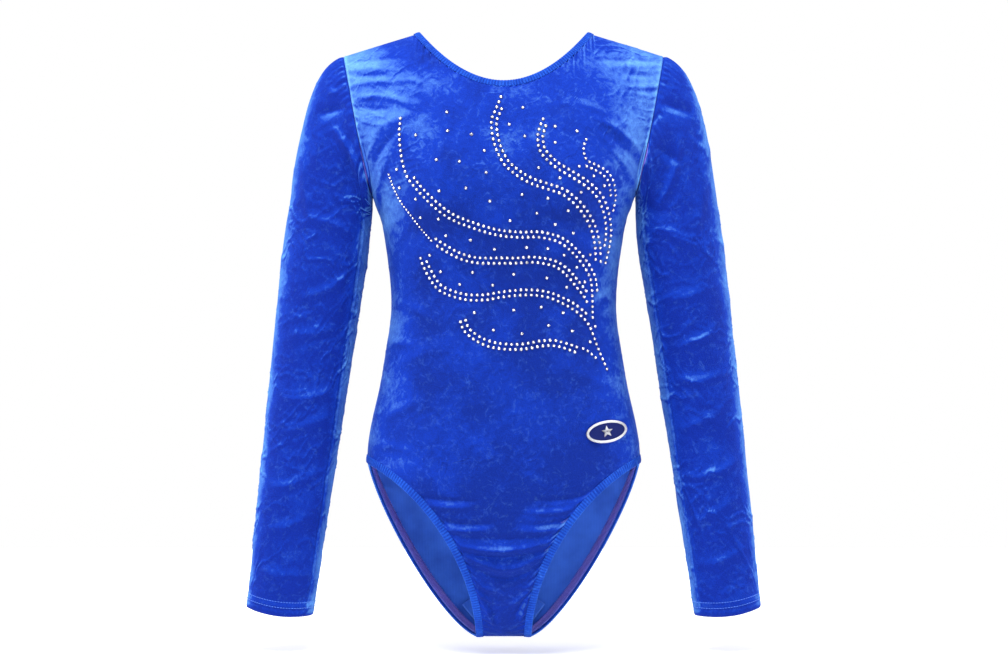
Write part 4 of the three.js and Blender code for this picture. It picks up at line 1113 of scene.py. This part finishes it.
# polyester satin, woven and pressed: off-white with a low soft shine
satin, satin_output = new_material("woven_satin_label")
tree = satin.node_tree
place = node(tree, "ShaderNodeTexCoord").outputs["Object"]
weave = node(tree, "ShaderNodeTexWave", {"Vector": place, "Scale": 260, "Distortion": 0.3},
             bands_direction="Z")
cloth = ramp(tree, weave.outputs["Fac"], (0.2, "#e4e4df"), (0.8, "#f4f4f0"))
shader = node(tree, "ShaderNodeBsdfPrincipled", {"Base Color": cloth, "Roughness": 0.38})
tree.links.new(shader.outputs[0], satin_output.inputs[0])
LABEL_WIDTH, LABEL_LENGTH = 26, 34
a, down = np.meshgrid(np.linspace(-0.5, 0.5, 27) * LABEL_WIDTH, np.linspace(0, LABEL_LENGTH, 35))
drop = -(NECK_DROP_BACK + 8.5 + down)
curl = 1.4 * smooth(down / LABEL_LENGTH) ** 2
label_grid = form_place(BACK, a, drop) - form_normal(BACK, a,
                                                     drop) * (2.6 + curl + 0.25 * np.sin(a / 5))[..., None]
label = mesh_object("blank_satin_label", label_grid.reshape(-1, 3),
                    grid_faces(*label_grid.shape[:2], flip=True), (satin, satin))
thicken(label, 0.25)
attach(label, "torso")
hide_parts("care_label")

# clear polyurethane elastic: half see-through, with a plastic shine
clear_tape, tape_output = new_material("clear_elastic_tape")
tree = clear_tape.node_tree
shader = node(tree, "ShaderNodeBsdfPrincipled", {"Base Color": linear("#dfe7ee"), "Roughness": 0.3,
                                                 "Transmission Weight": 0.6})
tree.links.new(shader.outputs[0], tape_output.inputs[0])
TAPE_WIDTH = 4.4
for side_name, (path, out) in shoulder_lines.items():
    even, normal, aside, at = edge_frame(path[6:-6], out[6:-6], False, 1)
    tape = swept(f"{side_name}_clear_tape", (even + aside * TAPE_WIDTH / 2, normal, aside, at),
                 flat_section(TAPE_WIDTH, -3.3, -3.0), False, (clear_tape,))
    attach(tape, "torso")
    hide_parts(f"{side_name}_shoulder_tape")

# ---- Crystal motif ---------------------------------------------------------------------------------------
# Flat-backed glass stones about 3.4 mm across are set one by one with heat, 6 mm apart in rows that sweep
# from the
# shoulder to the hip. Each stone has a table, eight crown facets and a dark foiled rim, and faces its own
# way.


def stone_template():
    """A round brilliant's crown: an octagonal table, eight facets, a girdle and the foil's rim round it."""
    turn = np.arange(8) * np.pi / 4
    ring = lambda r, h, shift=0.0: np.stack([r * np.cos(turn + shift), r * np.sin(turn + shift),
                                             h + 0 * turn], 1)
    points = np.vstack([ring(0.6, -0.25), ring(0.6, 0.12), ring(0.5, 0.16), ring(0.5, 0.2),
                        ring(0.27, 0.46, 0.0)])
    faces = [(8 * k + j, 8 * k + (j + 1) % 8, 8 * k + 8 + (j + 1) % 8, 8 * k + 8 + j) for k in range(4)
             for j in range(8)]
    return points, faces + [tuple(range(32, 40))]


# glue and foil at the foot of each stone: a dark line round it
foil_rim, foil_output = new_material("dark_foil_rim")
tree = foil_rim.node_tree
shader = node(tree, "ShaderNodeBsdfPrincipled", {"Base Color": linear("#2a2a5c"), "Roughness": 0.45,
                                                 "Metallic": 0.3})
tree.links.new(shader.outputs[0], foil_output.inputs[0])
# glass with mirror foil behind it: polished facets, each given its own tone at random by the glint attribute,
# a painted reflection
crystal, crystal_output = new_material("foiled_crystal")
tree = crystal.node_tree
glint = node(tree, "ShaderNodeAttribute", attribute_name="glint").outputs["Fac"]
tone = ramp(tree, glint, (0.0, "#85848c"), (0.35, "#bdbdc4"), (0.7, "#e8e7e6"), (1.0, "#ffffff"))
shader = node(tree, "ShaderNodeBsdfPrincipled", {"Base Color": tone, "Roughness": 0.12, "Metallic": 0.75,
                                                 "Coat Weight": 0.6, "Coat Roughness": 0.03})
tree.links.new(shader.outputs[0], crystal_output.inputs[0])

dg = bpy.context.evaluated_depsgraph_get()
front_tree = BVHTree.FromObject(front_panel, dg)


def on_cloth(x, z):
    """Where the front's velvet is at (x, z) in the front view, in millimetres, and which way it faces."""
    place, out = [], []
    for a, b in zip(x, z):
        hit, normal, _, _ = front_tree.ray_cast(Vector((a * MM, -0.3, b * MM)), Vector((0, 1, 0)))
        if hit is None:
            continue
        place.append(np.array(hit) / MM)
        out.append(np.array(normal) * (1 if normal[1] < 0 else -1))
    return np.array(place), np.array(out)


def stones(name, x, z, size, seed):
    """Stones at places of the front, each turned and tipped a little at random."""
    draw = np.random.default_rng(seed)
    origin, w = on_cloth(x, z)
    w = w + draw.normal(0, 0.05, w.shape)
    w /= np.linalg.norm(w, axis=1, keepdims=True)
    spin = draw.uniform(0, np.pi / 4, len(w))[:, None]
    side = np.cross(w, [0.0, 0.0, 1.0])
    side /= np.linalg.norm(side, axis=1, keepdims=True)
    up = np.cross(side, w)
    u = np.cos(spin) * side + np.sin(spin) * up
    v = np.cross(w, u)
    scale = (size * draw.uniform(0.95, 1.05, len(w)))[:, None]
    points, faces = stone_template()
    slots = np.array([1] * 24 + [0] * 9)
    obj = copies(name, points, faces, (origin + 0.1 * w, u * scale, v * scale, w * scale),
                 (crystal, foil_rim), slots)
    # painted reflection: a random tone for each facet
    layer = obj.data.attributes.new("glint", "FLOAT", "FACE")
    layer.data.foreach_set("value", draw.beta(1.6, 1.0, len(obj.data.polygons)).astype(np.float32))
    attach(obj, "torso")
    return obj


def smooth_line(points, step):
    """A curve through points, centripetal pieces joined smoothly, with stones a step apart: (x, z)."""
    p = np.array(points, float)
    p = np.vstack([2 * p[0] - p[1], p, 2 * p[-1] - p[-2]])
    t = np.linspace(0, 1, 24, endpoint=False)[:, None]
    pieces = []
    for k in range(1, len(p) - 2):
        a, b, c, d = p[k - 1 : k + 3]
        pieces.append(0.5 * (2 * b + (c - a) * t + (2 * a - 5 * b + 4 * c - d) * t**2
                             + (3 * b - a - 3 * c + d) * t**3))
    line = np.vstack(pieces + [p[-2:-1]])
    length = np.concatenate([[0], np.linalg.norm(np.diff(line, axis=0), axis=1).cumsum()])
    at = np.linspace(0, length[-1], max(2, int(round(length[-1] / step)) + 1))
    return np.stack([np.interp(at, length, line[:, k]) for k in range(2)], 1)


ROW_GAP = 5.7
# first row's (x, z) points in millimetres, size, spacing, second row's side and its part of the length
STRANDS = {
    "outer_loop": ([(-113, -102), (-114, -117), (-113, -134), (-110, -152), (-103, -170), (-83, -193),
                    (-61, -211),
                    (-39, -221), (-10, -230), (15, -233), (40, -233), (62, -239), (80, -254), (93, -272),
                    (97, -287),
                    (98, -320)], 3.4, 5.9, 1, (0.2, 0.9)),
    "neck_loop": ([(-3, -79), (-9, -94), (-13, -104), (-13, -116), (-11, -128), (-7, -140), (0, -153),
                   (9, -162),
                   (20, -170), (32, -176), (47, -181), (62, -186), (74, -194), (84, -204), (92, -216),
                   (97, -228),
                   (100, -241), (101, -256)], 3.5, 6.1, 1, (0.07, 0.97)),
    "bust_loop": ([(43, -104), (40, -111), (37, -123), (39, -138), (45, -147), (57, -158), (74, -168),
                   (90, -178),
                   (102, -189), (108, -201), (112, -216), (112, -234), (107, -258)], 3.5, 6.1, 1,
                   (0.06, 1.0)),
    "side_loop": ([(90, -126), (87, -134), (88, -144), (92, -150), (101, -154), (112, -160), (120, -170),
                   (123, -187),
                   (121, -199), (117, -216), (113, -234)], 3.0, 5.5, -1, (0.22, 0.62)),
    "lower_curl": ([(-126, -163), (-121, -177), (-113, -193), (-104, -205), (-92, -221), (-79, -236)], 2.5,
                   3.9, 0, (0, 0)),
    "lower_loop": ([(-77, -239), (-71, -243), (-56, -252), (-42, -258), (-25, -261), (-5, -261), (15, -261),
                    (32, -260),
                    (48, -262), (59, -266), (70, -275), (80, -287), (90, -300), (95, -314)], 3.4, 6.0, 1,
                    (0, 0.97)),
    "waist_loop": ([(-91, -255), (-88, -264), (-80, -279), (-71, -290), (-56, -297), (-39, -301), (-20, -301),
                    (-2, -298), (17, -296), (35, -296), (51, -299), (67, -306), (80, -314), (92, -326),
                    (98, -338),
                    (104, -354), (114, -377)], 3.4, 6.0, 1, (0.04, 0.82)),
    "base_loop": ([(-47, -325), (-43, -335), (-31, -345), (-16, -352), (2, -355), (21, -355), (39, -352),
                   (54, -351),
                   (67, -354), (78, -358)], 3.4, 6.0, 1, (0.02, 0.98)),
    "base_tail": ([(82, -352), (92, -357), (103, -366), (114, -376)], 3.0, 5.5, 0, (0, 0)),
}


def clear_of(places, worn, gap):
    """The places that lie a gap or more from all those worn and from each other, taken in turn."""
    kept = list(worn)
    for place in places:
        if all(math.dist(place, other) >= gap for other in kept):
            kept.append(place)
    return np.array(kept[len(worn) :])


worn = np.zeros((0, 2))
for number, (strand, (points, size, step, second, (low, high))) in enumerate(STRANDS.items()):
    first = smooth_line(points, step)
    rows = [first]
    if second:
        heading = np.gradient(first, axis=0)
        heading /= np.linalg.norm(heading, axis=1, keepdims=True)
        beside = first + second * ROW_GAP * np.stack([-heading[:, 1], heading[:, 0]], 1)
        rows.append(smooth_line(beside[int(low * len(first)) : int(high * len(first)) + 1], step))
    xz = clear_of(np.vstack(rows), worn, min(4.7, 0.85 * step))
    worn = np.vstack([worn, xz])
    strand_stones = stones(f"{strand}_stones", *xz.T, size, 900 + number)
    if strand not in ("lower_curl", "base_tail"):  # these two have no node of their own
        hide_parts(f"crystals_{strand}")

SINGLES = [  # (x, z) of the stones scattered between the rows
    (-62, -96), (-96, -121), (-61, -117), (-35, -121), (-21, -139), (-73, -149), (-48, -151), (-19, -163),
    (-117, -158),
    (-114, -178), (-96, -191), (-70, -183), (-41, -180), (-15, -194), (20, -187), (48, -191), (-71, -213),
    (-91, -211),
    (7, -215), (36, -207), (70, -204), (56, -219), (76, -228), (-63, -231), (-36, -236), (-10, -246),
    (25, -244),
    (48, -245), (66, -252), (95, -251), (-81, -252), (-69, -270), (-34, -271), (11, -273), (47, -277),
    (-48, -284),
    (-12, -285), (80, -265), (89, -281), (69, -287), (-32, -315), (11, -312), (41, -309), (65, -315),
    (-11, -334),
    (20, -338), (49, -329), (75, -335), (95, -347), (21, -91), (6, -110), (23, -123), (56, -112), (56, -130),
    (80, -117), (38, -158), (82, -156), (61, -169), (49, -173), (84, -184), (98, -166), (110, -176),
    (116, -184),
    (105, -200), (102, -215), (94, -233), (108, -236), (97, -262)]
stones("scattered_stones", *clear_of(np.array(SINGLES, float), worn, 4.8).T, 3.3, 990)

# ---- Hip patch -------------------------------------------------------------------------------------------
# A small oval patch of navy twill on the left hip, edged with a ring of silver satin stitch 2.7 mm wide
# round a
# plain five-pointed star worked in the same thread.
PATCH_X, PATCH_Z = 112.5, 29 - HIP_DROP
PATCH_TILT = math.radians(8)
PATCH_LONG, PATCH_HIGH = 45, 24
RING_INSET, STAR_INNER, STAR_OUTER = 2.6, 2.9, 6.6


def on_patch(a, b, lift):
    """Places at (a, b) on the patch, in millimetres along and across it, a lift off the form."""
    x = PATCH_X + a * math.cos(PATCH_TILT) - b * math.sin(PATCH_TILT)
    z = PATCH_Z + a * math.sin(PATCH_TILT) + b * math.cos(PATCH_TILT)
    reach = 0.93 * half_width(-z)
    x = np.minimum(x, reach)
    return form_place(FRONT, x, z) + form_normal(FRONT, x, z) * np.asarray(lift)[..., None]


# polyester twill: matt, with fine slanting ribs
twill, twill_output = new_material("navy_twill")
tree = twill.node_tree
place = node(tree, "ShaderNodeTexCoord").outputs["Object"]
rib = node(tree, "ShaderNodeTexWave", {"Vector": place, "Scale": 190, "Distortion": 0.4},
           bands_direction="DIAGONAL")
tone = ramp(tree, rib.outputs["Fac"], (0.2, "#060f44"), (0.8, "#0c1c60"))
bump = node(tree, "ShaderNodeBump", {"Height": rib.outputs["Fac"], "Strength": 0.5, "Distance": 0.0003})
shader = node(tree, "ShaderNodeBsdfPrincipled", {"Base Color": tone, "Roughness": 0.8,
                                                 "Normal": bump.outputs[0],
                                                 "Specular IOR Level": 0.15})
tree.links.new(shader.outputs[0], twill_output.inputs[0])
silver_thread = thread_material("silver_satin_thread", "#e9e9ee", "#bfc0c8", 0.35)

turn, radial = np.meshgrid(2 * np.pi * np.arange(96) / 96, [0.02, 0.3, 0.6, 0.8, 0.96, 1.0, 1.0],
                           indexing="xy")
lift = np.array([2.6, 2.6, 2.6, 2.55, 2.4, 2.2, 0.4])[:, None] + 0 * turn
base_grid = on_patch(radial * PATCH_LONG / 2 * np.cos(turn), radial * PATCH_HIGH / 2 * np.sin(turn), lift)
base = mesh_object("hip_patch_twill", base_grid.reshape(-1, 3),
                   grid_faces(*base_grid.shape[:2], round_rows=True, flip=True),
                   (twill,))
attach(base, "torso")
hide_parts("hip_patch_base")


def satin_stitches(name, inner, outer, lift, swell, node_name):
    """Threads laid side by side from an inner to an outer line, each arched up in its middle."""
    t = np.linspace(0, 1, 7)
    arch = lift + swell * np.sin(np.pi * t) ** 0.8
    count = len(inner)
    ab = inner[:, None] + (outer - inner)[:, None] * t[:, None]
    spread = np.roll(inner + outer, -1, 0) - (inner + outer)
    half = 0.23 * spread / 2
    profile = [(-1.0, 0.0), (0.0, 0.32), (1.0, 0.0)]
    sides = [on_patch(*(np.moveaxis(ab + half[:, None] * a * 2.0, -1, 0)),
                      np.broadcast_to(arch + h, (count, 7)))
             for a, h in profile]
    points = np.stack(sides, 2)
    k = np.arange(count)[:, None] * 21
    quads = np.concatenate([k + np.array([[3 * i + j, 3 * i + j + 1, 3 * i + j + 4, 3 * i + j + 3]])
                            for i in range(6) for j in range(2)])
    threads = mesh_object(name, points.reshape(-1, 3), quads, (silver_thread,))
    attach(threads, "torso")
    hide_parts(node_name)
    return threads


turn = 2 * np.pi * np.arange(260) / 260
oval_at = lambda inset: np.stack([(PATCH_LONG / 2 - inset) * np.cos(turn),
                                  (PATCH_HIGH / 2 - inset) * np.sin(turn)], 1)
satin_stitches("hip_patch_ring", oval_at(RING_INSET), oval_at(-0.1), 2.5, 0.45, "hip_patch_border")
corner = np.pi / 2 + np.pi * np.arange(11) / 5
radius = np.where(np.arange(11) % 2, STAR_INNER, STAR_OUTER)
outline = np.stack([radius * np.cos(corner), radius * np.sin(corner)], 1)
share = np.linspace(0, 10, 220, endpoint=False)
rim = np.stack([np.interp(share, np.arange(11), outline[:, k]) for k in range(2)], 1)
satin_stitches("hip_patch_star_stitches", rim * 0.12, rim, 2.75, 0.5, "hip_patch_star")
